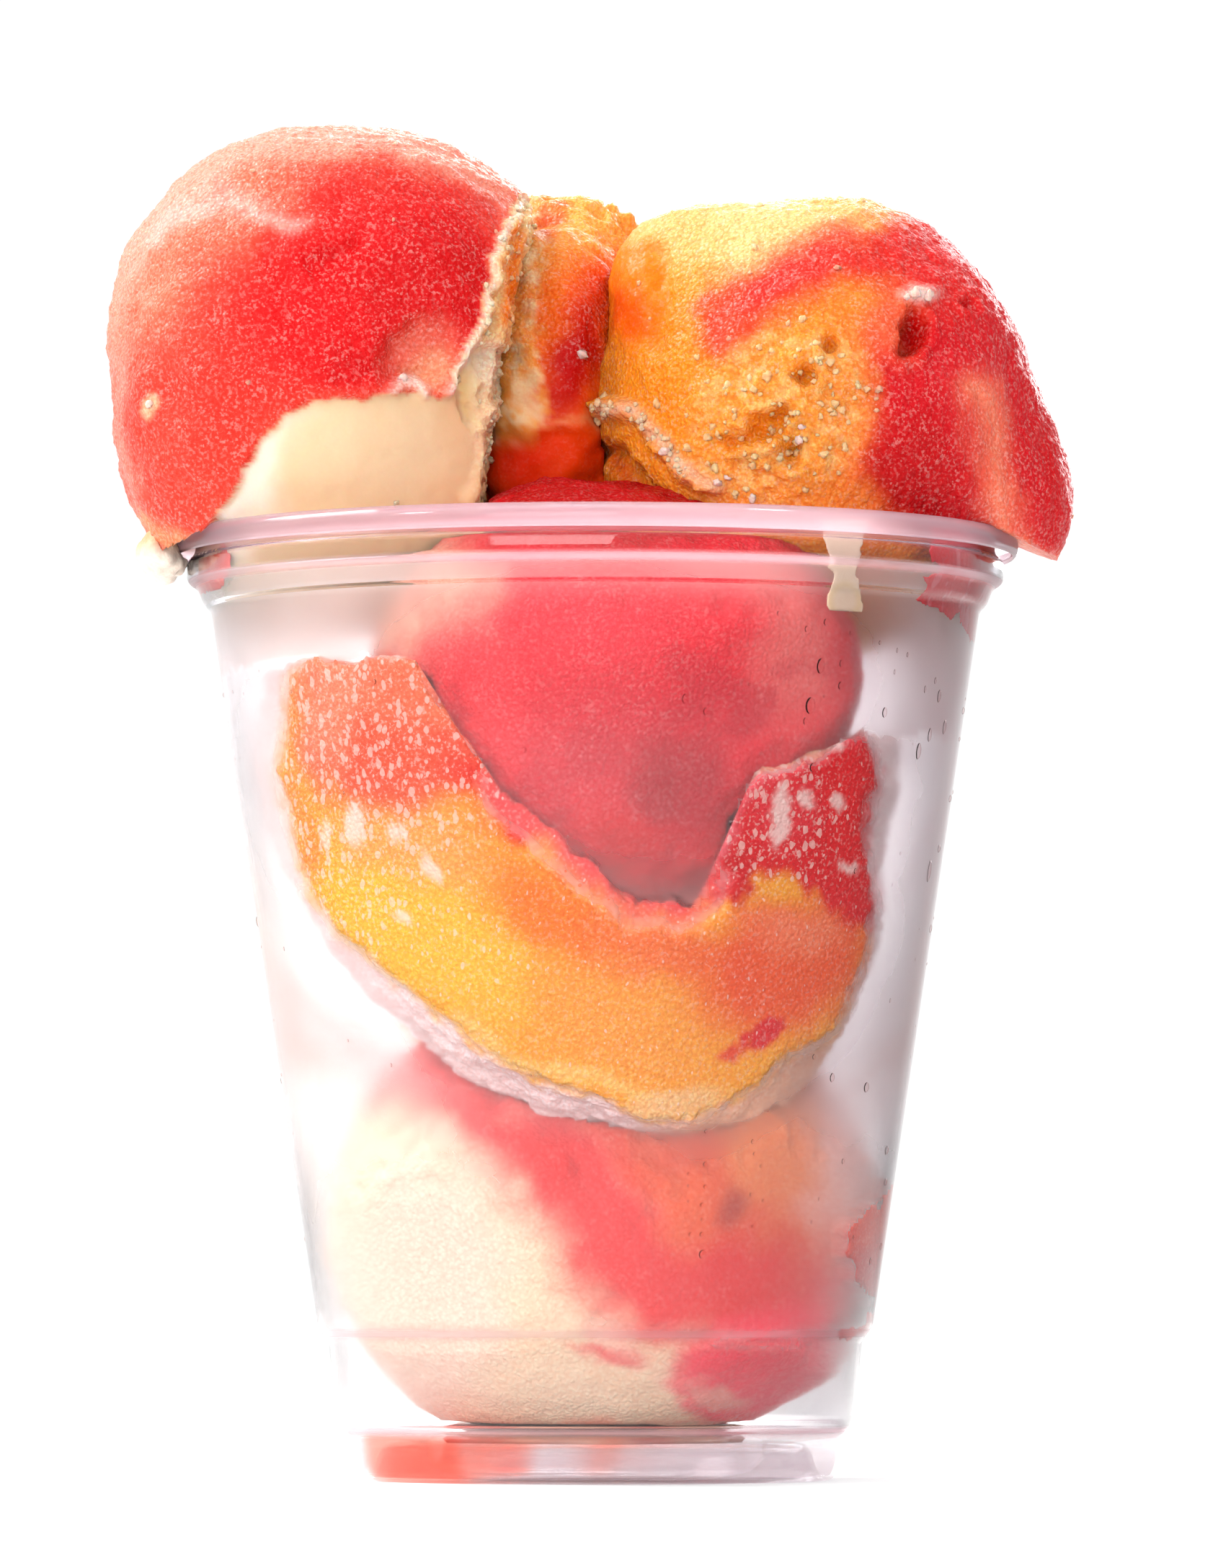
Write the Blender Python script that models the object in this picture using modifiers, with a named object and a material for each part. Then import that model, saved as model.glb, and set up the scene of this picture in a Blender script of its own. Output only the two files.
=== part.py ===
"""Water ice in a clear cold-drink cup.

Three heaped scoops stand above the rim and three more are pressed down inside the cup.
Every scoop is a closed ball of its own, flattened where it meets the cup or a neighbour,
with a thin clearance between touching bodies.
The cup is a thin turned sheet with a curled lip, a banded collar, a stacking step and a
raised floor. It stands on its foot ring at z = 0 with its axis on the world Z axis.
All driving dimensions are in millimetres and are scaled to metres when a mesh is made.
"""

import math

import bmesh
import bpy
import numpy as np

MM = 0.001

# Cup, outer face of the sheet, millimetres
SHEET = 0.5
TURN_STEPS = 48
WELD = 0.00001
CURL_RADIUS = 47.4
CURL_HEIGHT = 107.7
CURL_OUTER = 1.6
CURL_ANGLES = (-50, -10, 30, 70, 110, 150, 190)
NECK_RADIUS = 46.5
NECK_HEIGHT = 106.6
BAND_RADIUS = 47.3
BAND_TOP = 106.0
BAND_FOOT = 103.7
COLLAR_RADIUS = 46.1
COLLAR_TOP = 103.0
COLLAR_FOOT_RADIUS = 45.3
COLLAR_FOOT = 101.0
WALL_TOP_RADIUS = 44.5
WALL_TOP = 100.4
WALL_FOOT_RADIUS = 32.0
WALL_FOOT = 17.7
STEP_RADIUS = 30.8
STEP_HEIGHT = 16.2
BASE_TOP_RADIUS = 29.8
BASE_TOP = 6.6
FOOT_TOP_RADIUS = 28.5
FOOT_TOP = 5.4
FOOT_RADIUS = 28.2
FOOT_ROUND = 2.2
FOOT_LOW_RADIUS = 27.7
FOOT_LOW = 0.6
RING_OUTER = 27.1
RING_INNER = 25.9
RISER_LOW_RADIUS = 25.2
RISER_LOW = 0.6
RISER_TOP_RADIUS = 24.3
RISER_TOP = 3.4
FLOOR_RADIUS = 23.5
FLOOR_UNDERSIDE = 3.9

# Room kept free between touching bodies, millimetres
CLEARANCE = 0.45
RIM_CLEARANCE = 0.4
OVERHANG_FOOT = 105.7
RIM_CUT_FOOT = 60.0
RIM_CUT_RADIUS = 62.0
RIM_CUT_STEPS = 64

# Ball meshes: squares along one edge of the starting cube
TOP_SQUARES = 11
INNER_SQUARES = 8
BITE_SQUARES = 11
# Rays are stepped outwards this far and this finely, then the crossing is halved down
RAY_REACH = 58.0
RAY_STEP = 1.0
RAY_HALVINGS = 14
BLEND = 5.0
LUMP_SCALE = 2.4
LUMP_SHIFT = 7.0

# Scoops, millimetres: middle, half sizes, roundness exponent, rounded lobes given as a
# middle and a radius, flat faces given as a point and an outward direction
LEFT = {
    "middle": (-29.3, -3.0, 126.8),
    "half": (26.5, 26.8, 29.0),
    "power": 2.4,
    "lobes": (((-12.5, -6.0, 138.5), 9.8), ((-42.2, -3.0, 136.0), 12.2)),
    "faces": (((-9.3, 0.0, 130.0), (1.0, 0.0, -0.12)),),
    "lump": 0.7,
    "seed": 11,
}
RIGHT = {
    "middle": (25.5, -3.0, 121.5),
    "half": (25.6, 26.4, 26.6),
    "power": 2.05,
    "lobes": (((11.0, -6.0, 137.0), 9.4), ((41.4, -3.0, 113.2), 13.6)),
    "lump": 0.6,
    "seed": 23,
}
BACK = {
    "middle": (-2.0, 15.5, 122.5),
    "half": (31.0, 23.5, 25.8),
    "power": 2.1,
    "lump": 0.7,
    "seed": 37,
}
UPPER = {
    "middle": (1.0, -16.0, 92.0),
    "half": (25.5, 25.5, 25.5),
    "power": 2.1,
    "lobes": (((4.5, -21.0, 79.0), 17.5),),
    "lump": 0.5,
    "seed": 41,
}
MIDDLE = {
    "middle": (-0.5, -20.0, 82.0),
    "half": (35.0, 26.0, 38.0),
    "power": 2.0,
    "lobes": (((6.0, -20.0, 62.0), 24.2), ((-19.0, -12.0, 83.0), 20.0), ((0.0, 11.0, 74.0), 31.0)),
    "faces": (((0.0, 0.0, 92.5), (0.0, 0.0, 1.0)),),
    "lump": 0.5,
    "seed": 53,
}
LOWER = {
    "middle": (1.0, -1.5, 30.0),
    "half": (31.0, 29.5, 26.5),
    "power": 2.3,
    "lobes": (((20.0, -5.0, 26.0), 13.5),),
    "lump": 0.6,
    "seed": 67,
}
# The star point of the middle scoop sits low, in front, under the valley in its top
MIDDLE_STAR = (5.0, -20.0, 50.0)
# The upper scoop lies in this valley of the middle scoop: x and height, seen from the front
VALLEY_X = (-40.0, -18.5, -15.1, -11.1, -5.8, 3.9, 10.8, 13.4, 15.0, 18.9, 29.5, 40.0)
VALLEY_Z = (92.5, 92.0, 84.3, 77.7, 73.7, 65.2, 63.6, 70.0, 76.8, 80.0, 84.0, 85.0)
# Room that the upper and lower scoops keep from the cup's side
UPPER_STAND_OFF = 2.2
BITE_HALF = (36.0, 44.0, 36.0)

# Lattice noise: whole numbers that mix a cell's place and the seed into an even spread
HASH_ACROSS = 374761393
HASH_AWAY = 668265263
HASH_UP = 2147483647
HASH_SEED = 1274126177
HASH_GROWTH = 1103515245
HASH_STEP = 12345
HASH_SPREAD = 69069
HASH_MASK = 0xFFFFFFFF
HASH_HALF = 2147483647.0

# Plain finishes
PLASTIC_ROUGHNESS = 0.08
PLASTIC_IOR = 1.55
ICE_ROUGHNESS = 0.45

COLOURS = {
    "clear_plastic": (0.93, 0.95, 0.96, 1.0),
    "ice_coral": (0.86, 0.16, 0.13, 1.0),
    "ice_crimson": (0.78, 0.04, 0.07, 1.0),
    "ice_gold": (0.96, 0.55, 0.10, 1.0),
    "ice_cream": (0.94, 0.70, 0.38, 1.0),
}


# Scene set-up

for old in list(bpy.data.objects):
    bpy.data.objects.remove(old, do_unlink=True)

part = bpy.data.collections.new("water_ice")
tools = bpy.data.collections.new("cutters")
bpy.context.scene.collection.children.link(part)
bpy.context.scene.collection.children.link(tools)


def coat(name):
    """A Principled material in the slot's plain colour."""
    material = bpy.data.materials.new(name)
    material.use_nodes = True
    shader = material.node_tree.nodes["Principled BSDF"]
    shader.inputs["Base Color"].default_value = COLOURS[name]
    shader.inputs["Roughness"].default_value = ICE_ROUGHNESS
    if name == "clear_plastic":
        shader.inputs["Roughness"].default_value = PLASTIC_ROUGHNESS
        shader.inputs["Transmission Weight"].default_value = 1.0
        shader.inputs["IOR"].default_value = PLASTIC_IOR
    return material


COATS = {name: coat(name) for name in COLOURS}


# Cup profile helpers

def curl_points(radius):
    """Section of the curled lip, from its free end over the top to its inner side."""
    points = []
    for angle in CURL_ANGLES:
        turn = math.radians(angle)
        points.append((CURL_RADIUS + radius * math.cos(turn), CURL_HEIGHT + radius * math.sin(turn)))
    return points


CUP_PROFILE = curl_points(CURL_OUTER - SHEET) + [
    (NECK_RADIUS, NECK_HEIGHT),
    (BAND_RADIUS, BAND_TOP),
    (BAND_RADIUS, BAND_FOOT),
    (COLLAR_RADIUS, COLLAR_TOP),
    (COLLAR_FOOT_RADIUS, COLLAR_FOOT),
    (WALL_TOP_RADIUS, WALL_TOP),
    (WALL_FOOT_RADIUS, WALL_FOOT),
    (STEP_RADIUS, STEP_HEIGHT),
    (BASE_TOP_RADIUS, BASE_TOP),
    (FOOT_TOP_RADIUS, FOOT_TOP),
    (FOOT_RADIUS, FOOT_ROUND),
    (FOOT_LOW_RADIUS, FOOT_LOW),
    (RING_OUTER, 0.0),
    (RING_INNER, 0.0),
    (RISER_LOW_RADIUS, RISER_LOW),
    (RISER_TOP_RADIUS, RISER_TOP),
    (FLOOR_RADIUS, FLOOR_UNDERSIDE),
    (0.0, FLOOR_UNDERSIDE),
]

# Outer radii that bound the ice: the low steps are passed on a straight line
LIP_INSIDE = CURL_RADIUS - CURL_OUTER + SHEET
STEP_PASS_HEIGHT = 27.0
STEP_PASS_RADIUS = 33.4
STEP_ROOM_RADIUS = 30.8
ROOM_HEIGHTS = (FOOT_ROUND, FOOT_TOP, WALL_FOOT, STEP_PASS_HEIGHT, WALL_TOP, COLLAR_TOP, CURL_HEIGHT)
ROOM_RADII = (
    FOOT_RADIUS,
    FOOT_RADIUS,
    STEP_ROOM_RADIUS,
    STEP_PASS_RADIUS,
    WALL_TOP_RADIUS,
    LIP_INSIDE,
    LIP_INSIDE,
)


def turned(name, points, steps, collection):
    """An object turned about Z from a section of (radius, height) points."""
    mesh = bpy.data.meshes.new(name)
    body = bmesh.new()
    ring = [body.verts.new((radius * MM, 0.0, height * MM)) for radius, height in points]
    for first, second in zip(ring, ring[1:]):
        body.edges.new((first, second))
    body.to_mesh(mesh)
    body.free()
    made = bpy.data.objects.new(name, mesh)
    collection.objects.link(made)
    screw = made.modifiers.new("turn", "SCREW")
    screw.axis = "Z"
    screw.steps = steps
    screw.render_steps = steps
    screw.use_merge_vertices = True
    screw.merge_threshold = WELD
    screw.use_smooth_shade = False
    return made


# Shapes of the scoops, worked out in millimetres

def hashed(cell, seed):
    """Repeatable values between -1 and 1 for whole-number lattice cells."""
    mix = cell[:, 0] * HASH_ACROSS + cell[:, 1] * HASH_AWAY + cell[:, 2] * HASH_UP + seed * HASH_SEED
    mix = (mix ^ (mix >> 13)) & HASH_MASK
    mix = (mix * HASH_GROWTH + HASH_STEP) & HASH_MASK
    mix = (mix ^ (mix >> 16)) * HASH_SPREAD & HASH_MASK
    return mix / HASH_HALF - 1.0


def lumps(points, seed):
    """Smooth lattice noise, one value for each point."""
    low = np.floor(points).astype(np.int64)
    part_way = points - low
    ease = part_way * part_way * (3.0 - 2.0 * part_way)
    total = np.zeros(len(points))
    for corner in range(8):
        step = np.array([corner & 1, corner >> 1 & 1, corner >> 2 & 1])
        weight = np.prod(np.where(step == 1, ease, 1.0 - ease), axis=1)
        total += weight * hashed(low + step, seed)
    return total


def ball_distance(points, scoop):
    """Near-distance to a scoop's rounded body with its lobes and faces, negative inside."""
    half = np.array(scoop["half"])
    power = scoop["power"]
    reach = np.abs((points - np.array(scoop["middle"])) / half) ** power
    result = (reach.sum(axis=1) ** (1.0 / power) - 1.0) * half.min()
    for middle, radius in scoop.get("lobes", ()):
        lobe = np.linalg.norm(points - np.array(middle), axis=1) - radius
        mix = np.clip(0.5 + 0.5 * (lobe - result) / BLEND, 0.0, 1.0)
        result = lobe * (1.0 - mix) + result * mix - BLEND * mix * (1.0 - mix)
    for point, direction in scoop.get("faces", ()):
        outward = np.array(direction) / np.linalg.norm(direction)
        result = np.maximum(result, (points - np.array(point)) @ outward)
    return result


def below_valley(points, spare):
    """How far points lie under the valley's line, with some room to spare on both sides."""
    sides = [np.interp(points[:, 0] + shift, VALLEY_X, VALLEY_Z) for shift in (-spare, 0.0, spare)]
    return np.max(sides, axis=0) + spare - points[:, 2]


def inner_radius(height):
    """Radius the ice may fill at each height: inside the sheet, less the clearance."""
    return np.interp(height, ROOM_HEIGHTS, ROOM_RADII) - SHEET - CLEARANCE


def inside_cup(points):
    """Near-distance to the room inside the cup, negative inside it."""
    side = np.hypot(points[:, 0], points[:, 1]) - inner_radius(points[:, 2])
    floor = FLOOR_UNDERSIDE + SHEET + CLEARANCE - points[:, 2]
    return np.maximum(side, floor)


def cube_ball(squares):
    """A ball mesh of even four-sided faces, as unit directions in a fresh bmesh."""
    body = bmesh.new()
    bmesh.ops.create_cube(body, size=2.0)
    bmesh.ops.subdivide_edges(body, edges=body.edges[:], cuts=squares - 1, use_grid_fill=True)
    for vertex in body.verts:
        vertex.co = [math.tan(value * math.pi / 4.0) for value in vertex.co]
        vertex.co.normalize()
    bmesh.ops.triangulate(body, faces=body.faces[:])
    return body


def scoop_body(
    name, scoop, squares, collection, star=None, in_cup=False, stand_off=0.0, in_valley=None, swell=0.0
):
    """One scoop: rays from its star point run to its own skin, the cup or the valley's line.

    stand_off is the extra room kept from the cup, in_valley the room kept over the valley's
    line, and swell what a cutter is made larger by.
    """
    start = np.array(star or scoop["middle"])
    body = cube_ball(squares)
    rays = np.array([vertex.co[:] for vertex in body.verts])
    skin = scoop["lump"] * lumps(rays * LUMP_SCALE + LUMP_SHIFT, scoop["seed"]) + swell

    def outside(travel):
        points = start + rays * travel[:, None]
        room = ball_distance(points, scoop) - skin
        if in_cup:
            room = np.maximum(room, inside_cup(points) + stand_off)
        if in_valley is not None:
            room = np.maximum(room, below_valley(points, in_valley) - swell)
        return room > 0.0

    near = np.zeros(len(rays))
    for _ in range(int(RAY_REACH / RAY_STEP)):
        near = np.where(outside(near + RAY_STEP), near, near + RAY_STEP)
    far = near + RAY_STEP
    for _ in range(RAY_HALVINGS):
        halfway = (near + far) / 2.0
        stopped = outside(halfway)
        near = np.where(stopped, near, halfway)
        far = np.where(stopped, halfway, far)
    for vertex, place in zip(body.verts, start + rays * near[:, None]):
        vertex.co = place * MM
    mesh = bpy.data.meshes.new(name)
    body.to_mesh(mesh)
    body.free()
    made = bpy.data.objects.new(name, mesh)
    collection.objects.link(made)
    return made


def cut(target, cutter):
    """Take the cutter's room out of the target."""
    cutter.hide_render = True
    cutter.display_type = "WIRE"
    boolean = target.modifiers.new("less " + cutter.name, "BOOLEAN")
    boolean.operation = "DIFFERENCE"
    boolean.solver = "EXACT"
    boolean.object = cutter


# Cup

cup = turned("cup", CUP_PROFILE, TURN_STEPS, part)
sheet = cup.modifiers.new("sheet", "SOLIDIFY")
sheet.thickness = SHEET * MM
sheet.offset = -1.0
sheet.use_even_offset = True
sheet.use_rim = True
cup.data.materials.append(COATS["clear_plastic"])


# Room kept free around the lip for the scoops that hang over it

inner_lip = CURL_RADIUS - CURL_OUTER - RIM_CLEARANCE
outer_lip = CURL_RADIUS + CURL_OUTER + RIM_CLEARANCE
lip_arc = curl_points(CURL_OUTER + RIM_CLEARANCE)
rim_section = [(RIM_CUT_RADIUS, RIM_CUT_FOOT), (RIM_CUT_RADIUS, OVERHANG_FOOT), (outer_lip, OVERHANG_FOOT)]
rim_section += lip_arc[1:]
rim_section += [(inner_lip, COLLAR_TOP)]
rim_section += [(float(inner_radius(WALL_TOP)), WALL_TOP), (float(inner_radius(RIM_CUT_FOOT)), RIM_CUT_FOOT)]
rim_section += [rim_section[0]]
rim_room = turned("rim_room", rim_section[::-1], RIM_CUT_STEPS, tools)


# Scoops above the rim

scoop_left = scoop_body("scoop_left", LEFT, TOP_SQUARES, part)
scoop_right = scoop_body("scoop_right", RIGHT, TOP_SQUARES, part)
scoop_back = scoop_body("scoop_back", BACK, INNER_SQUARES, part)
left_room = scoop_body("left_room", LEFT, TOP_SQUARES, tools, swell=CLEARANCE)
right_room = scoop_body("right_room", RIGHT, TOP_SQUARES, tools, swell=CLEARANCE)
back_room = scoop_body("back_room", BACK, INNER_SQUARES, tools, swell=CLEARANCE)
for scoop in (scoop_left, scoop_right):
    cut(scoop, rim_room)
cut(scoop_left, right_room)
cut(scoop_back, left_room)
cut(scoop_back, right_room)


# Scoops pressed into the cup

scoop_upper = scoop_body(
    "scoop_upper", UPPER, INNER_SQUARES, part, in_cup=True, stand_off=UPPER_STAND_OFF, in_valley=CLEARANCE
)
scoop_middle = scoop_body("scoop_middle", MIDDLE, INNER_SQUARES, part, star=MIDDLE_STAR, in_cup=True)
scoop_lower = scoop_body("scoop_lower", LOWER, INNER_SQUARES, part, in_cup=True)
upper_room = scoop_body("upper_room", UPPER, INNER_SQUARES, tools, in_valley=CLEARANCE, swell=CLEARANCE)
upper_bite = scoop_body("upper_bite", dict(UPPER, half=BITE_HALF), BITE_SQUARES, tools, in_valley=0.0)
middle_room = scoop_body("middle_room", MIDDLE, INNER_SQUARES, tools, star=MIDDLE_STAR, swell=CLEARANCE)
for scoop in (scoop_upper, scoop_middle):
    cut(scoop, left_room)
    cut(scoop, right_room)
    cut(scoop, back_room)
cut(scoop_middle, upper_bite)
cut(scoop_middle, upper_room)
cut(scoop_lower, middle_room)


# Materials

scoop_left.data.materials.append(COATS["ice_coral"])
scoop_upper.data.materials.append(COATS["ice_crimson"])
scoop_right.data.materials.append(COATS["ice_gold"])
scoop_back.data.materials.append(COATS["ice_gold"])
scoop_middle.data.materials.append(COATS["ice_gold"])
scoop_lower.data.materials.append(COATS["ice_cream"])
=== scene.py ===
"""Looks of the water ice in its clear cup.

The six scoops of the frame are replaced by finely shaped bodies of the same form: the same
distance functions as in the part's source, with grain, tears, pits and wall contact added.
Their colours are laid in named patches of millimetres, as seen from the front, and ride on
the mesh as a colour attribute that the ice material reads. The cup is turned again with more
steps, and its inner face is misted wherever the ice stands off from it.
Lengths are in millimetres unless a name says otherwise, and become metres in the meshes.
"""

import math

import bmesh
import bpy
import numpy as np
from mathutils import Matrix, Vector
from mathutils.bvhtree import BVHTree


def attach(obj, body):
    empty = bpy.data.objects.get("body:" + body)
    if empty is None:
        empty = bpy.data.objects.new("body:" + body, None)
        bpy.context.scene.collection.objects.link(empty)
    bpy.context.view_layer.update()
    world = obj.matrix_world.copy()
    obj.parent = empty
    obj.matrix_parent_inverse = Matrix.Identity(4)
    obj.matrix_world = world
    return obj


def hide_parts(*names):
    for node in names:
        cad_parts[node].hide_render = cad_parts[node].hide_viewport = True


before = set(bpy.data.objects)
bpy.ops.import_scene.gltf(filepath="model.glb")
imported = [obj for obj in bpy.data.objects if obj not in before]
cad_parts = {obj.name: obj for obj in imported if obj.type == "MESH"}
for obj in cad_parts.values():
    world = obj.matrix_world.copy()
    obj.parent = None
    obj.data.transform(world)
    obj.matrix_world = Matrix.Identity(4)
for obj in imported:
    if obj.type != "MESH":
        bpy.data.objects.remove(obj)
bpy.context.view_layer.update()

MM = 0.001

# Camera, from the photograph: distance, height and sideways place of the eye, and its aim
EYE_DISTANCE = 1105.0
EYE_HEIGHT = 22.0
EYE_ACROSS = 2.33
AIM_HEIGHT = 80.4
LENS = 219.4
SENSOR = 36.0

# Cup, outer face of the sheet, as in the part's source
SHEET = 0.5
CURL_RADIUS = 47.4
CURL_HEIGHT = 107.7
CURL_OUTER = 1.6
NECK = (46.5, 106.6)
BAND_RADIUS = 47.3
BAND_TOP = 106.0
BAND_FOOT = 103.7
COLLAR = (46.1, 103.0)
COLLAR_FOOT = (45.3, 101.0)
WALL_TOP = (44.5, 100.4)
WALL_FOOT = (32.0, 17.7)
STEP = (30.8, 16.2)
BASE_TOP = (29.8, 6.6)
FOOT_TOP = (28.5, 5.4)
FOOT_ROUND = (28.2, 2.2)
FOOT_LOW = (27.7, 0.6)
RING_OUTER = 27.1
RING_INNER = 25.9
RISER_LOW = (25.2, 0.6)
RISER_TOP = (24.3, 3.4)
FLOOR_RADIUS = 23.5
FLOOR_UNDERSIDE = 3.9

# How finely things are made
TOP_SQUARES = 116
BACK_SQUARES = 74
UPPER_SQUARES = 62
MIDDLE_SQUARES = 112
LOWER_SQUARES = 90
CUP_STEPS = 256
CUP_ROWS = 100
RAY_REACH = 58.0
RAY_STEP = 1.0
RAY_HALVINGS = 11
RAY_BACKING = 5.0
BLEND = 5.0
LUMP_SCALE = 2.4
LUMP_SHIFT = 7.0

# Scoops, as in the part's source, but for the upper one, whose top sits lower here
LEFT = {
    "middle": (-29.3, -3.0, 126.8),
    "half": (26.5, 26.8, 29.0),
    "power": 2.4,
    "lobes": (((-12.5, -6.0, 138.5), 9.8), ((-42.2, -3.0, 136.0), 12.2)),
    "faces": (((-9.3, 0.0, 130.0), (1.0, 0.0, -0.12)),),
    "lump": 0.7,
    "seed": 11,
}
RIGHT = {
    "middle": (25.5, -3.0, 121.5),
    "half": (25.6, 26.4, 26.6),
    "power": 2.05,
    "lobes": (((11.0, -6.0, 137.0), 9.4), ((41.4, -3.0, 113.2), 13.6)),
    "lump": 0.6,
    "seed": 23,
}
BACK = {
    "middle": (-2.0, 15.5, 122.5),
    "half": (31.0, 23.5, 25.8),
    "power": 2.1,
    "lump": 0.7,
    "seed": 37,
}
UPPER = {
    "middle": (0.0, -16.0, 90.0),
    "half": (25.5, 25.5, 24.3),
    "power": 2.1,
    "lobes": (((4.5, -21.0, 79.0), 17.5), ((14.0, -22.5, 92.0), 16.0)),
    "lump": 0.5,
    "seed": 41,
}
MIDDLE = {
    "middle": (-0.5, -20.0, 82.0),
    "half": (35.0, 26.0, 38.0),
    "power": 2.0,
    "lobes": (((6.0, -20.0, 62.0), 24.2), ((-19.0, -12.0, 83.0), 20.0), ((0.0, 11.0, 74.0), 31.0)),
    "faces": (((0.0, 0.0, 92.5), (0.0, 0.0, 1.0)),),
    "lump": 0.5,
    "seed": 53,
}
LOWER = {
    "middle": (1.0, -1.5, 30.0),
    "half": (31.0, 29.5, 26.5),
    "power": 2.3,
    "lobes": (((20.0, -5.0, 26.0), 13.5),),
    "lump": 0.6,
    "seed": 67,
}
MIDDLE_STAR = (5.0, -20.0, 50.0)
VALLEY_X = (-40.0, -18.5, -15.1, -11.1, -5.8, 3.9, 10.8, 13.4, 15.0, 18.9, 29.5, 40.0)
VALLEY_Z = (92.5, 92.0, 84.3, 77.7, 73.7, 65.2, 63.6, 70.0, 76.8, 80.0, 84.0, 85.0)
UPPER_STAND_OFF = 2.0
LOWER_STAND_OFF = 2.0
# The ice reaches this far into the sheet and into its neighbours, so that no air shows where it touches
WALL_BITE = 0.18
TOUCH = 0.6
DEEP_TOUCH = 2.8
NEAR_WALL = 8.0
# Outside the cup nothing hangs lower than this
OVERHANG_FOOT = 105.9


# Colours, as sRGB bytes read off

def tone(red, green, blue):
    """A linear colour from sRGB bytes."""
    values = np.array([red, green, blue]) / 255.0
    return np.where(values <= 0.04045, values / 12.92, ((values + 0.055) / 1.055) ** 2.4)


WHITE_FROST = tone(253, 240, 232)
PALE_PINK = tone(250, 205, 196)
CORAL = tone(249, 142, 112)
DEEP_RED = tone(222, 6, 22)
CRIMSON = tone(214, 14, 30)
CREAM = tone(237, 206, 168)
PALE_CREAM = tone(251, 236, 212)
PEACH = tone(247, 192, 148)


# Noise, worked out for many points at once

def smooth(value, low, high):
    """0 under low and 1 over high, eased between; low may be the larger."""
    part_way = np.clip((value - low) / (high - low), 0.0, 1.0)
    return part_way * part_way * (3.0 - 2.0 * part_way)


HASH_CELL = np.array([374761393, 668265263, 2147483647])
HASH_SEED = 1274126177
HASH_GROWTH = 1103515245
HASH_STEP = 12345
HASH_SPREAD = 69069
HASH_MASK = 0xFFFFFFFF
HASH_HALF = float(0x7FFFFFFF)


def hashed(cell, seed):
    """Repeatable values between -1 and 1 for whole-number lattice cells."""
    mix = (cell * HASH_CELL).sum(axis=1) + seed * HASH_SEED
    mix = (mix ^ (mix >> 13)) & HASH_MASK
    mix = (mix * HASH_GROWTH + HASH_STEP) & HASH_MASK
    mix = (mix ^ (mix >> 16)) * HASH_SPREAD & HASH_MASK
    return mix / HASH_HALF - 1.0


def lumps(points, seed):
    """Smooth lattice noise, one value for each point."""
    low = np.floor(points).astype(np.int64)
    part_way = points - low
    ease = part_way * part_way * (3.0 - 2.0 * part_way)
    total = np.zeros(len(points))
    for corner in range(8):
        step = np.array([corner & 1, corner >> 1 & 1, corner >> 2 & 1])
        weight = np.prod(np.where(step == 1, ease, 1.0 - ease), axis=1)
        total += weight * hashed(low + step, seed)
    return total


def rough(points, size, seed, octaves=3):
    """Layered noise whose largest lumps measure about size, within about -1 to 1."""
    total = np.zeros(len(points))
    for octave in range(octaves):
        total += 0.55**octave * lumps(points / size * 2.0**octave + 3.7 * octave, seed + octave)
    return total


def crests(points, size, seed, octaves=3):
    """Ridged noise, 1 on sharp crests and falling to 0 between them."""
    total = np.zeros(len(points))
    for octave in range(octaves):
        fold = 1.0 - np.abs(lumps(points / size * 2.0**octave + 5.3 * octave, seed + octave)) * 1.6
        total += 0.5**octave * np.clip(fold, 0.0, 1.0)
    return total / 1.75


def grains(points, size, seed):
    """Rounded grains: distance to the nearest grain's middle in sizes, and a value for each grain."""
    scaled = points / size
    home = np.floor(scaled).astype(np.int64)
    nearest = np.full(len(points), 9.0)
    value = np.zeros(len(points))
    for across in (-1, 0, 1):
        for away in (-1, 0, 1):
            for up in (-1, 0, 1):
                cell = home + np.array([across, away, up])
                spot = np.stack([hashed(cell, seed + k) for k in range(3)], axis=1) * 0.5 + 0.5
                distance = np.linalg.norm(scaled - cell - spot, axis=1)
                closer = distance < nearest
                nearest = np.where(closer, distance, nearest)
                value = np.where(closer, hashed(cell, seed + 7), value)
    return nearest, value


# Shapes, as in the part's source

def ball_distance(points, scoop):
    """Near-distance to a scoop's rounded body with its lobes and faces, negative inside."""
    half = np.array(scoop["half"])
    power = scoop["power"]
    reach = np.abs((points - np.array(scoop["middle"])) / half) ** power
    result = (reach.sum(axis=1) ** (1.0 / power) - 1.0) * half.min()
    for middle, radius in scoop.get("lobes", ()):
        lobe = np.linalg.norm(points - np.array(middle), axis=1) - radius
        mix = np.clip(0.5 + 0.5 * (lobe - result) / BLEND, 0.0, 1.0)
        result = lobe * (1.0 - mix) + result * mix - BLEND * mix * (1.0 - mix)
    for point, direction in scoop.get("faces", ()):
        outward = np.array(direction) / np.linalg.norm(direction)
        result = np.maximum(result, (points - np.array(point)) @ outward)
    return result


ROOM_HEIGHTS = (2.2, 5.4, 6.6, 16.2, 17.7, 100.4, 101.0, 103.0, 103.7, 106.0, 106.6, 107.7)
ROOM_RADII = (28.2, 28.5, 29.8, 30.8, 32.0, 44.5, 45.3, 46.1, 46.3, 46.3, 46.3, 46.3)


def wall_radius(height):
    """Radius of the sheet's inner face at each height."""
    return np.interp(height, ROOM_HEIGHTS, ROOM_RADII) - SHEET


def inside_cup(points):
    """Near-distance to the room inside the cup, negative inside it."""
    side = np.hypot(points[:, 0], points[:, 1]) - wall_radius(points[:, 2])
    floor = FLOOR_UNDERSIDE + SHEET - points[:, 2]
    return np.maximum(side, floor)


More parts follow.
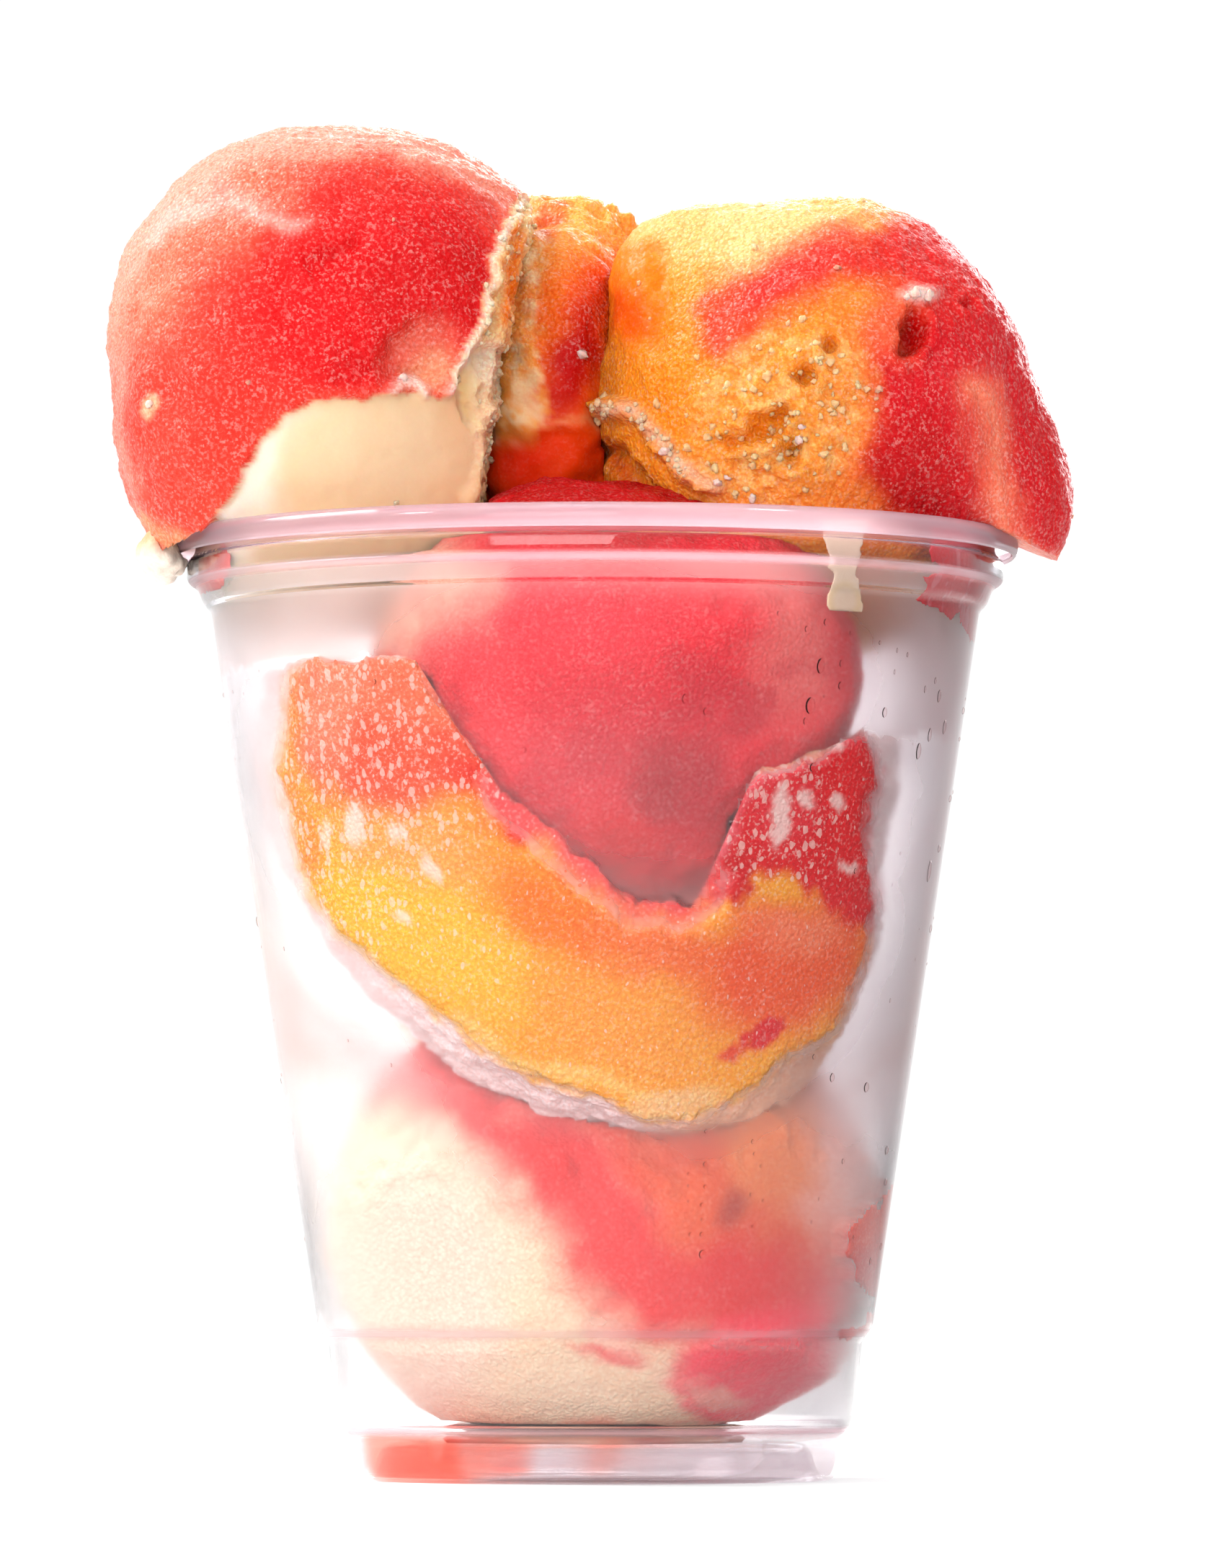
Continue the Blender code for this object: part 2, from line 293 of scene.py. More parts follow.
def sheet_clearance(points):
    """Distance from the cup's sheet and curled lip, negative inside the plastic."""
    radius = np.hypot(points[:, 0], points[:, 1])
    wall = np.abs(radius - wall_radius(points[:, 2]) - SHEET / 2) - SHEET / 2
    wall = np.where(points[:, 2] < CURL_HEIGHT, wall, 9.0)
    curl = np.hypot(radius - CURL_RADIUS, points[:, 2] - CURL_HEIGHT) - CURL_OUTER
    return np.minimum(wall, curl)


def above_valley(points):
    """How far points lie over the line of the middle scoop's valley."""
    return points[:, 2] - np.interp(points[:, 0], VALLEY_X, VALLEY_Z)


def as_object(name, body):
    """A smooth mesh object from a bmesh, which is freed."""
    mesh = bpy.data.meshes.new(name)
    body.to_mesh(mesh)
    body.free()
    mesh.shade_smooth()
    made = bpy.data.objects.new(name, mesh)
    bpy.context.scene.collection.objects.link(made)
    return made


def cube_ball(squares):
    """A ball mesh of even four-sided faces, as unit directions in a fresh bmesh."""
    body = bmesh.new()
    bmesh.ops.create_cube(body, size=2.0)
    bmesh.ops.subdivide_edges(body, edges=body.edges[:], cuts=squares - 1, use_grid_fill=True)
    for vertex in body.verts:
        vertex.co = [math.tan(value * math.pi / 4.0) for value in vertex.co]
        vertex.co.normalize()
    return body


def run_rays(start, rays, room, near):
    """Distances from start along each ray at which room(points) first turns positive."""
    running = np.ones(len(rays), bool)
    for _ in range(int(RAY_REACH / RAY_STEP)):
        index = np.nonzero(running)[0]
        if len(index) == 0:
            break
        points = start + rays[index] * (near[index] + RAY_STEP)[:, None]
        stopped = room(points, index) > 0.0
        running[index[stopped]] = False
        near[index[~stopped]] += RAY_STEP
    far = near + RAY_STEP
    everything = np.arange(len(rays))
    for _ in range(RAY_HALVINGS):
        halfway = (near + far) / 2.0
        stopped = room(start + rays * halfway[:, None], everything) > 0.0
        near = np.where(stopped, near, halfway)
        far = np.where(stopped, halfway, far)
    return near


def shaped(name, scoop, squares, relief, limits, star=None):
    """The mesh object of one scoop, with its relief, and its points in millimetres.

    Each limit is a function of points that is positive where the scoop may not be.
    """
    start = np.array(star or scoop["middle"])
    body = cube_ball(squares)
    rays = np.array([vertex.co[:] for vertex in body.verts])
    skin = scoop["lump"] * lumps(rays * LUMP_SCALE + LUMP_SHIFT, scoop["seed"])

    def room(points, index):
        value = ball_distance(points, scoop) - skin[index]
        for limit in limits:
            value = np.maximum(value, limit(points))
        return value

    travel = run_rays(start, rays, room, np.zeros(len(rays)))
    skin = skin + relief(start + rays * travel[:, None])
    travel = run_rays(start, rays, room, np.maximum(travel - RAY_BACKING, 0.0))
    points = start + rays * travel[:, None]
    for vertex, place in zip(body.verts, points):
        vertex.co = place * MM
    return as_object(name, body), points


def off_lip(points):
    """Limit that keeps a piece out of the cup's sheet and lip."""
    return 0.02 - sheet_clearance(points)


def off_sheet(points):
    """Limit of what lies on top: the cup's sheet, its lip and the air under the lip outside."""
    hanging = np.hypot(points[:, 0], points[:, 1]) - wall_radius(points[:, 2])
    return np.maximum(off_lip(points), np.minimum(hanging, OVERHANG_FOOT - points[:, 2]))


def off_scoops(*scoops, bite=TOUCH):
    """Limit that keeps a scoop out of others, but for an overlap of bite."""
    return lambda points: -np.min([ball_distance(points, other) for other in scoops], axis=0) - bite


def in_room(stand_off):
    """Limit that keeps a scoop inside the cup, standing off the wall by stand_off(points)."""

    def limit(points):
        value = inside_cup(points) - WALL_BITE
        close = value > -NEAR_WALL
        value[close] += stand_off(points[close])
        return value

    return limit


# Patches, in millimetres as the front view shows them

def seen(points):
    """Across and up at the cup's axis, as the eye sees each point from the front."""
    nearer = EYE_DISTANCE / (EYE_DISTANCE + points[:, 1])
    across = EYE_ACROSS + (points[:, 0] - EYE_ACROSS) * nearer
    up = EYE_HEIGHT + (points[:, 2] - EYE_HEIGHT) * nearer
    return np.stack([across, up], axis=1)


def warped(points, amount, size, seed):
    """Seen places, pushed about by noise so that patches get natural edges."""
    flat = seen(points)
    behind = 1.0 + 3.0 * smooth(points[:, 1], -4.0, 14.0)
    flat[:, 0] += amount * behind * rough(points, size, seed)
    flat[:, 1] += amount * behind * rough(points, size, seed + 31)
    return flat


def blob(flat, middle, half, turn=0.0):
    """Near-distance to an ellipse in the seen plane, negative inside."""
    angle = math.radians(turn)
    offset = flat - np.array(middle)
    along = offset[:, 0] * math.cos(angle) + offset[:, 1] * math.sin(angle)
    edge_on_shade = -offset[:, 0] * math.sin(angle) + offset[:, 1] * math.cos(angle)
    return (np.hypot(along / half[0], edge_on_shade / half[1]) - 1.0) * min(half)


def band(flat, line, half_width):
    """Distance to a line of points in the seen plane, less half the band's width."""
    best = np.full(len(flat), 1e9)
    for first, second in zip(line, line[1:]):
        first = np.array(first)
        run = np.array(second) - first
        along = np.clip((flat - first) @ run / (run @ run), 0.0, 1.0)
        best = np.minimum(best, np.linalg.norm(flat - first - along[:, None] * run, axis=1))
    return best - half_width


def outline(flat, line):
    """Signed distance to a closed outline in the seen plane, negative inside."""
    closed = list(line) + [line[0]]
    distance = band(flat, closed, 0.0)
    inside = np.zeros(len(flat), bool)
    for (x0, y0), (x1, y1) in zip(closed, closed[1:]):
        if y0 == y1:
            continue
        crosses = (flat[:, 1] > min(y0, y1)) & (flat[:, 1] <= max(y0, y1))
        edge = x0 + (flat[:, 1] - y0) * (x1 - x0) / (y1 - y0)
        inside ^= crosses & (flat[:, 0] < edge)
    return np.where(inside, -distance, distance)


def mixed(colour, tint, share):
    """The colour with a share of tint, one share for each point."""
    share = share[:, None]
    return colour * (1.0 - share) + tint * share


def lay(colour, distance, tint, soft=1.0, strength=1.0):
    """Lay a tint over the colour inside a patch, with a soft edge."""
    return mixed(colour, tint, smooth(distance, soft, -soft) * strength)


def lay_blobs(colour, flat, rows):
    """Lay ellipses over the colour in turn: middle, half sizes, turn, tint, softness, strength."""
    for middle, half, turn, tint, soft, strength in rows:
        colour = lay(colour, blob(flat, middle, half, turn), tone(*tint), soft, strength)
    return colour


# Left scoop: a coral and red dome, a smooth cream face and a torn right edge

LEFT_FINE = (0.5, 2.2, 101)
CREAM_FACE = (
    (-44.6, 110.3), (-41.4, 115.7), (-39.8, 118.9), (-38.2, 121.3), (-35.8, 123.5),
    (-32.6, 124.9), (-26.6, 125.3), (-22.2, 125.8), (-20.6, 126.6), (-18.2, 125.2),
    (-16.7, 125.6), (-15.8, 128.4), (-14.4, 131.4), (-8.0, 131.0), (-6.0, 104.0), (-38.0, 96.0),
    (-52.0, 102.0),
)
CREST = (
    (-7.6, 149.4), (-9.2, 147.0), (-10.6, 144.4), (-11.4, 141.4), (-12.3, 138.0), (-12.9, 134.8),
    (-14.3, 131.8), (-15.5, 128.8), (-17.0, 126.0),
)
TORN_EDGE = (
    (-7.3, 148.6), (-7.7, 144.4), (-7.0, 138.8), (-7.6, 132.8), (-8.7, 128.8), (-9.6, 124.8),
    (-12.0, 121.5), (-12.2, 118.9), (-13.0, 115.7), (-14.4, 112.6),
)
TORN_ZONE = (
    (-8.0, 149.8), (-10.0, 147.0), (-11.4, 143.4), (-12.8, 138.6), (-13.5, 134.7), (-15.2, 131.0),
    (-16.2, 128.0), (-15.5, 124.5), (-12.5, 119.0), (-13.5, 106.0), (6.0, 104.0), (6.0, 152.0),
)
BOWL = ((-20.3, 130.8), (4.4, 3.0), 35.0)
PALE_STREAK = (
    (-51.0, 144.0), (-49.5, 146.3), (-46.5, 147.6), (-42.5, 148.2), (-38.5, 147.2), (-34.6, 145.4),
)
DOME_GROOVE = ((-32.8, 141.0), (-28.0, 143.4))
FACE_TIP = ((-23.4, 126.4), (-21.4, 127.4), (-19.6, 126.0))


def in_front(points):
    """1 on the side that the photograph shows, 0 on the far side."""
    return smooth(points[:, 1], 9.0, 0.0)


def left_relief(points):
    """Relief of the left scoop along its rays."""
    flat = warped(points, *LEFT_FINE)
    front = in_front(points)
    face = smooth(outline(flat, CREAM_FACE), 0.35, -0.35) * front
    torn = smooth(outline(flat, TORN_ZONE), 0.5, -0.5)
    dome = (1.0 - face) * (1.0 - torn)
    streaks = points @ np.array([[0.35, 0.0, 0.2], [0.0, 1.0, 0.0], [-0.25, 0.0, 1.0]])
    near, _ = grains(points, 0.8, 5)
    relief = dome * (0.5 * rough(streaks, 6.0, 110) + 0.14 * rough(points, 1.5, 120))
    relief += dome * 0.24 * (0.55 - near)
    ridge = band(flat, ((-47.5, 128.2), (-44.2, 127.9), (-39.0, 127.4), (-32.6, 126.8)), 0.0)
    relief += 0.35 * dome * front * smooth(ridge, 1.4, 0.0)
    dent = ((-38.0, 143.0), (-36.0, 136.0), (-33.0, 129.0))
    relief -= 0.9 * dome * front * smooth(band(flat, DOME_GROOVE, 0.0), 1.9, 0.0)
    relief -= 0.5 * dome * front * smooth(band(flat, dent, 0.0), 2.4, 0.0)
    relief -= face * (1.1 - 0.10 * rough(points, 3.0, 130))
    relief += torn * (1.2 * crests(points, 2.8, 140) - 1.3 + 0.35 * (0.5 - near))
    below_top = front * smooth(points[:, 2], 148.5, 143.0)
    relief += 1.5 * smooth(band(flat, CREST, 0.0), 1.1, 0.2) * below_top
    relief += 0.8 * smooth(band(flat, TORN_EDGE, 0.0), 1.2, 0.2) * below_top
    relief -= 1.9 * front * smooth(blob(flat, *BOWL), 1.4, -1.2)
    return relief + 0.8 * front * smooth(band(flat, FACE_TIP, 0.0), 1.1, 0.2)


def left_colour(points):
    """Colours of the left scoop."""
    flat = warped(points, 1.3, 5.0, 201)
    fine = warped(points, *LEFT_FINE)
    colour = np.tile(CORAL, (len(points), 1))
    colour = lay_blobs(colour, flat, (
        ((-50.0, 119.0), (13.0, 13.0), 0.0, (240, 74, 58), 6.0, 0.85),
        ((-40.0, 131.0), (8.0, 12.0), 0.0, (243, 62, 48), 5.0, 0.8),
        ((-25.5, 137.0), (16.5, 11.5), 14.0, (238, 18, 32), 4.5, 1.0),
        ((-24.0, 147.5), (11.0, 5.5), -10.0, (232, 26, 34), 3.0, 0.85),
    ))
    dent = ((-38.0, 142.5), (-36.0, 136.0), (-33.0, 129.5))
    colour = lay(colour, band(flat, dent, 0.8), tone(240, 40, 40), 2.0, 0.7)
    # Painted shade: deep red on the dome's right and lower part and in its groove, where less light
    # falls
    colour = lay(colour, blob(flat, (-19.0, 137.5), (8.5, 8.0), 30.0), DEEP_RED, 3.2, 0.95)
    shaded_hem = ((-31.0, 129.5), (-25.0, 131.0), (-19.5, 134.5))
    colour = lay(colour, band(flat, shaded_hem, 1.8), DEEP_RED, 2.2, 0.95)
    colour = lay(colour, band(flat, DOME_GROOVE, 0.7), DEEP_RED, 1.4, 0.9)
    # Painted light: a paler rim along the dome's top and left side, where the light falls
    ring = np.hypot((flat[:, 0] + 29.3) / 27.0, (flat[:, 1] - 126.8) / 29.2)
    rise = smooth((flat[:, 1] - 126.8) * 0.9 - (flat[:, 0] + 29.3) * 0.35, 8.0, 22.0)
    rim = 0.65 * smooth(ring, 0.89, 0.99) * np.maximum(rise, 0.7 * smooth(flat[:, 0], -47.0, -55.0))
    colour = mixed(colour, tone(249, 186, 168), rim)
    colour = lay(colour, band(flat, PALE_STREAK, 0.9), PALE_PINK, 1.8, 0.85)
    colour = lay(colour, blob(fine, *BOWL), tone(243, 132, 112), 1.8, 0.9)
    colour = lay(colour, blob(fine, (-19.0, 128.6), (3.0, 2.2), 30.0), tone(247, 176, 140), 1.4, 0.9)
    colour = lay(colour, outline(fine, CREAM_FACE), CREAM, 0.28)
    inside = smooth(outline(fine, CREAM_FACE), 0.2, -1.0)
    warm = inside * smooth(flat[:, 0], -24.0, -14.0) * 0.3
    colour = mixed(colour, PEACH, warm)
    pale = inside * smooth(blob(flat, (-29.0, 121.0), (12.0, 5.0), -12.0), 4.0, -3.0) * 0.6
    colour = mixed(colour, tone(247, 224, 190), pale)
    low = inside * smooth(flat[:, 0] + (118.0 - flat[:, 1]) * 0.4, -34.0, -40.0)
    colour = mixed(colour, tone(253, 238, 222), low)
    colour = lay(colour, outline(fine, TORN_ZONE), tone(253, 216, 158), 0.3)
    gold_line = ((-9.0, 145.0), (-9.6, 139.5), (-10.6, 134.5))
    colour = lay(colour, band(fine, gold_line, 0.7), tone(252, 148, 28), 0.8)
    colour = lay(colour, blob(fine, (-11.4, 122.5), (3.0, 8.0), 8.0), tone(251, 220, 184), 1.6, 0.9)
    colour = lay(colour, blob(fine, (-12.6, 129.4), (2.2, 2.6)), PALE_CREAM, 1.2, 0.8)
    far_side = 1.0 - in_front(points)
    ripple = smooth(rough(points, 9.0, 230), 0.05, 0.6) * far_side
    colour = mixed(colour, PEACH, 0.55 * ripple)
    front = in_front(points)
    colour = lay(colour, band(fine, CREST, 0.25), WHITE_FROST, 0.6, 0.95)
    colour = lay(colour, band(fine, TORN_EDGE, 0.2), tone(253, 226, 176), 0.7, 0.85)
    colour = lay(colour, band(fine, FACE_TIP, 0.3), WHITE_FROST, 0.6, 0.9)
    fringe = smooth(band(flat, ((-52.0, 110.8), (-48.0, 108.0), (-44.0, 107.6)), 0.8), 1.5, -0.5) * front
    colour = mixed(colour, tone(250, 178, 130), 0.7 * fringe)
    return lay(colour, blob(fine, (-51.6, 124.4), (0.8, 1.4)), tone(252, 206, 170), 0.4, 0.9)


# Right scoop: yellow with a coral arc, a craggy orange front and a crimson side

RIGHT_FINE = (0.45, 1.8, 301)
ARC = (
    (41.5, 137.5), (39.0, 140.0), (34.1, 142.3), (28.6, 142.3), (23.5, 140.4), (18.4, 137.0),
    (14.4, 133.4),
)
PITS = (
    ((27.3, 131.8), (0.9, 1.2), 0.0, 1.6),
    ((24.3, 128.2), (1.5, 1.2), 25.0, 1.8),
    ((20.4, 122.2), (2.8, 1.7), 35.0, 2.0),
    ((17.0, 120.2), (2.4, 0.9), 12.0, 1.5),
    ((22.6, 119.0), (0.9, 1.6), 10.0, 1.5),
    ((43.3, 136.1), (0.7, 0.7), 0.0, 1.2),
    ((37.0, 132.8), (1.7, 2.8), -6.0, 3.8),
)
LIP = (
    (0.6, 123.8), (2.6, 124.0), (4.6, 123.6), (6.5, 121.6), (8.2, 119.1), (10.8, 116.5), (14.2, 115.0),
)
HOLLOW = ((1.4, 118.8), (3.6, 116.6), (6.4, 113.4))
HOLE_TOP = ((37.6, 137.4), (2.0, 0.9))
AMBER_LOBE = ((4.4, 138.0), (4.6, 6.6), 12.0)


def right_crags(flat):
    """Where the right scoop's front is torn and craggy."""
    return smooth(blob(flat, (21.5, 123.5), (11.0, 8.5), 40.0), 2.5, -1.5)


def right_relief(points):
    """Relief of the right scoop along its rays."""
    flat = warped(points, *RIGHT_FINE)
    front = in_front(points)
    far_tear = smooth(rough(points, 14.0, 360), 0.25, 0.5) * (1.0 - front)
    crags = np.maximum(right_crags(flat) * front, far_tear)
    near, _ = grains(points, 0.8, 15)
    small, _ = grains(points, 1.5, 17)
    relief = 0.4 * rough(points, 7.5, 310) + 0.14 * rough(points, 1.5, 320) + 0.24 * (0.55 - near)
    relief += crags * (0.7 * crests(points, 3.4, 330) - 0.35 + 0.8 * (0.5 - small) + 0.3 * (0.5 - near))
    for middle, half, turn, depth in PITS:
        pit = blob(flat, middle, half, turn)
        relief -= depth * smooth(pit, 0.35, -0.7) * front
        relief += 0.5 * smooth(np.abs(pit - 0.8), 0.8, 0.1) * (0.5 + rough(points, 1.2, 340)) * front
    lip = smooth(band(flat, LIP, 0.0), 1.6, 0.2) * front
    relief += lip * (1.3 + 0.9 * rough(points, 1.4, 350))
    relief -= 2.0 * smooth(band(flat, HOLLOW, 0.8), 1.4, -0.8) * front
    relief -= 0.9 * smooth(band(flat, ((7.4, 142.5), (7.6, 137.0), (7.2, 131.0)), 0.0), 1.8, 0.0) * front
    return relief + 0.9 * smooth(blob(flat, *HOLE_TOP), 0.7, -0.4) * front


def right_colour(points):
    """Colours of the right scoop."""
    flat = warped(points, 1.1, 4.5, 401)
    fine = warped(points, *RIGHT_FINE)
    front = in_front(points)
    colour = np.tile(tone(252, 168, 50), (len(points), 1))
    colour = lay_blobs(colour, flat, (
        ((17.0, 145.0), (15.0, 6.0), 6.0, (253, 218, 150), 3.5, 0.95),
        ((9.5, 131.0), (5.0, 12.0), -4.0, (252, 166, 34), 3.5, 0.9),
        ((30.5, 122.0), (4.5, 14.0), 4.0, (249, 142, 70), 3.0, 0.9),
        ((19.0, 113.5), (9.0, 4.5), 0.0, (249, 160, 78), 3.0, 0.8),
        ((47.5, 122.0), (14.8, 23.0), 14.0, (222, 20, 42), 2.6, 1.0),
        ((42.0, 140.5), (9.0, 6.0), -42.0, (226, 44, 54), 2.6, 0.95),
        ((34.5, 134.5), (3.4, 5.0), 0.0, (247, 126, 84), 2.2, 0.85),
        ((37.0, 116.5), (5.8, 6.2), 0.0, (212, 2, 26), 2.4, 0.95),
        ((43.5, 127.0), (4.0, 4.0), 0.0, (232, 58, 66), 2.6, 0.7),
    ))
    coral_band = ((44.6, 126.0), (46.2, 120.0), (46.2, 114.0), (47.5, 109.0))
    colour = lay(colour, band(flat, coral_band, 1.6), tone(255, 158, 126), 2.6, 0.95)
    side_line = ((52.0, 124.0), (53.0, 114.0), (53.0, 108.0))
    colour = lay(colour, band(flat, side_line, 0.8), CRIMSON, 1.8, 0.8)
    colour = lay(colour, blob(flat, (50.0, 106.8), (4.5, 1.9), -20.0), tone(250, 176, 140), 1.6, 0.75)
    colour = lay(colour, band(flat, ARC, 3.1), tone(236, 52, 50), 2.6, 0.95)
    colour = lay_blobs(colour, flat, (
        ((15.5, 133.0), (3.4, 3.2), 30.0, (246, 96, 58), 2.0, 0.85),
        ((4.4, 138.0), (4.6, 6.6), 12.0, (252, 142, 0), 2.2, 1.0),
        ((3.6, 135.6), (2.0, 2.6), 0.0, (236, 98, 0), 1.6, 0.85),
    ))
    crags = (right_crags(fine) * front)[:, None]
    colour = colour * (1.0 - 0.6 * crags) + tone(253, 184, 88) * 0.6 * crags
    frost_and_glints = smooth(rough(points, 1.4, 420), 0.1, 0.5)[:, None] * crags
    colour = colour * (1.0 - 0.6 * frost_and_glints) + tone(254, 214, 144) * 0.6 * frost_and_glints
    for middle, half, turn, _ in PITS[:5]:
        colour = lay(colour, blob(fine, middle, half, turn), tone(251, 156, 20), 0.7, 0.95)
    hole = PITS[-1]
    colour = lay(colour, blob(fine, hole[0], hole[1], hole[2]), tone(226, 16, 10), 0.6)
    colour = lay(colour, blob(fine, PITS[5][0], PITS[5][1]), DEEP_RED, 0.5)
    colour = lay(colour, blob(fine, *HOLE_TOP), WHITE_FROST, 0.7, 0.9)
    colour = lay(colour, band(fine, LIP, 0.8), tone(250, 204, 172), 0.9, 0.92)
    return lay(colour, band(fine, HOLLOW, 1.0), tone(238, 124, 40), 1.3)


# Back scoop: orange and yellow on top, a dark red streak, and a painted glow low between the others,
# standing in for light shining through the ice

STREAK = ((0.9, 138.0), (0.2, 135.4), (-1.8, 130.5), (-4.2, 126.4), (-5.6, 124.0))
LEDGE = ((-11.0, 122.6), (-6.0, 121.6), (-1.0, 122.6), (3.0, 121.0))


def back_crumbs(points):
    """Where the back scoop is torn and crumbly, beside the left one."""
    flat = seen(points)
    edge = flat[:, 0] + 6.4 + 1.3 * rough(points, 2.0, 650)
    return smooth(edge, 0.6, -0.6) * smooth(flat[:, 1], 118.5, 122.0)


def back_relief(points):
    """Relief of the back scoop along its rays."""
    near, _ = grains(points, 1.0, 25)
    flat = warped(points, 0.8, 2.4, 501)
    top = smooth(points[:, 2], 128.0, 142.0)
    relief = 0.6 * rough(points, 6.0, 510) + 0.25 * rough(points, 2.0, 520) + 0.2 * top * (0.55 - near)
    relief += 0.8 * smooth(band(flat, LEDGE, 0.0), 1.2, 0.1)
    relief += back_crumbs(points) * (0.9 * crests(points, 2.2, 560) + 0.3 * rough(points, 1.2, 570))
    bulge = smooth(blob(flat, (-6.0, 127.0), (6.0, 20.0)), 3.5, -3.0)
    relief += 4.5 * bulge * smooth(points[:, 1], 4.0, -3.0)
    relief += 1.2 * smooth(blob(flat, (-2.0, 147.0), (4.0, 4.0)), 3.0, -3.0)
    behind_right = smooth(flat[:, 0], 0.0, 8.0) * smooth(flat[:, 0], 28.0, 14.0)
    relief -= 3.2 * behind_right * smooth(flat[:, 1], 134.0, 144.0)
    return relief + top * (0.6 * crests(points, 4.0, 530) - 0.3)


def back_colour(points):
    """Colours of the back scoop."""
    flat = warped(points, 0.8, 3.0, 601)
    colour = np.tile(tone(252, 132, 34), (len(points), 1))
    height = smooth(flat[:, 1], 136.0, 147.0)
    colour = mixed(colour, tone(253, 190, 92), height)
    colour = lay(colour, blob(flat, (-6.8, 146.5), (2.4, 3.2)), tone(240, 112, 62), 1.8, 0.85)
    # Painted glow: brighter red-orange low between the other scoops, on the side seen from the front,
    # standing in for light shining through the ice
    glow = smooth(flat[:, 1], 128.0, 119.0) * smooth(points[:, 1], 18.0, 4.0)
    colour = mixed(colour, tone(255, 84, 6), glow)
    colour = lay(colour, blob(flat, (-8.5, 117.0), (3.5, 4.0)), tone(255, 62, 4), 2.0, 0.8)
    colour = lay(colour, band(flat, STREAK, 2.6), tone(240, 84, 24), 2.6, 0.95)
    colour = lay(colour, blob(flat, (-2.6, 129.6), (2.6, 6.4), -16.0), tone(206, 8, 4), 1.8, 0.97)
    colour = lay(colour, band(flat, LEDGE, 0.3), tone(247, 168, 118), 0.8, 0.75)
    crumbs = 0.85 * back_crumbs(points)[:, None]
    pale = smooth(rough(points, 1.5, 660), -0.2, 0.4)[:, None]
    crumb_tint = tone(253, 180, 96) * (1.0 - pale) + tone(254, 224, 178) * pale
    return colour * (1.0 - crumbs) + crumb_tint * crumbs


# Upper scoop inside the cup: crimson and rose, with the left scoop's cream running down beside it

def upper_relief(points):
    """Relief of the upper scoop along its rays."""
    near, _ = grains(points, 0.8, 35)
    return 0.35 * rough(points, 6.0, 710) + 0.3 * rough(points, 1.8, 720) + 0.25 * (0.5 - near)


def upper_colour(points):
    """Colours of the upper scoop."""
    flat = warped(points, 1.8, 6.0, 801)
    colour = np.tile(tone(232, 30, 58), (len(points), 1))
    colour = lay_blobs(colour, flat, (
        ((0.0, 112.5), (14.0, 5.5), 0.0, (206, 10, 26), 2.0, 1.0),
        ((2.0, 101.0), (11.0, 6.0), 0.0, (236, 48, 72), 4.0, 0.8),
        ((4.0, 84.0), (14.0, 9.0), 0.0, (216, 34, 62), 5.0, 0.8),
        ((9.5, 79.5), (5.5, 5.0), -35.0, (182, 6, 42), 3.0, 0.85),
        ((4.5, 71.0), (8.0, 5.0), -40.0, (214, 0, 34), 3.0, 0.95),
        ((-22.0, 102.0), (9.0, 7.0), 0.0, (252, 210, 182), 4.0, 0.9),
        ((-15.0, 92.0), (5.0, 9.0), 20.0, (242, 58, 72), 3.5, 0.9),
        ((23.0, 97.0), (4.0, 9.0), 0.0, (248, 140, 134), 4.0, 0.75),
    ))
    cloud = 0.5 * smooth(rough(points, 5.5, 760), -0.05, 0.4) * smooth(flat[:, 1], 100.0, 90.0)
    return mixed(colour, tone(204, 22, 56), cloud)


# Middle scoop: pressed against the wall, coral over yellow over orange, crimson at the right

PRESSED = (
    (-34.3, 93.0), (-31.7, 95.2), (-27.2, 94.9), (-22.5, 94.6), (-19.2, 93.8), (-17.8, 92.2),
    (-16.8, 88.5), (-14.4, 85.9), (-12.0, 82.7), (-10.4, 78.4), (-6.1, 75.6), (-2.4, 72.0),
    (4.0, 66.9), (9.3, 66.3), (12.4, 68.5), (14.6, 73.0), (16.6, 78.6), (19.5, 81.0),
    (23.7, 82.0), (26.7, 83.3), (28.8, 85.4), (30.5, 85.8), (31.3, 83.5), (31.9, 80.0),
    (30.8, 77.9), (30.3, 74.0), (30.7, 71.4), (31.3, 66.2), (30.4, 61.2), (29.3, 57.5),
    (26.8, 52.3), (23.0, 50.0), (15.4, 44.3), (11.3, 42.1), (6.3, 42.2), (1.7, 44.5),
    (-5.2, 46.4), (-11.6, 49.5), (-18.0, 54.6), (-23.7, 59.2), (-26.0, 61.6), (-29.0, 63.4),
    (-30.4, 65.7), (-32.2, 67.8), (-33.2, 71.0), (-34.6, 77.6), (-35.9, 81.5), (-35.1, 85.3),
    (-34.8, 90.9),
)
CRIMSON_ARM = (
    (12.8, 70.5), (13.6, 66.5), (16.0, 66.8), (17.5, 69.5), (21.0, 70.2), (24.5, 68.2),
    (27.5, 65.4), (30.0, 63.4), (34.5, 64.0), (35.0, 88.0), (28.0, 90.0), (16.0, 83.0),
    (12.5, 74.0),
)
INNER_EDGE = ((-10.4, 79.4), (-6.1, 76.0), (-2.4, 72.4), (4.0, 67.2), (9.3, 66.6), (12.4, 68.5))
FROTH = ((14.0, 73.5), (16.6, 79.6), (20.0, 82.4), (24.0, 83.6), (28.0, 86.2), (31.0, 87.2))


def pressed_off(points):
    """How far the middle scoop stands off the wall: nothing inside its pressed outline."""
    flat = warped(points, 0.6, 1.8, 931)
    edge = outline(flat, PRESSED)
    off = 0.9 * smooth(edge, 0.0, 1.0) + 0.85 * np.clip(edge - 0.5, 0.0, 7.0)
    soft = smooth(band(flat, INNER_EDGE, 0.0), 4.6, 0.6)
    behind = 0.6 * smooth(rough(points, 9.0, 950), 0.0, 0.4)
    return np.where(points[:, 1] < -4.0, np.maximum(off, 1.5 * soft), behind)


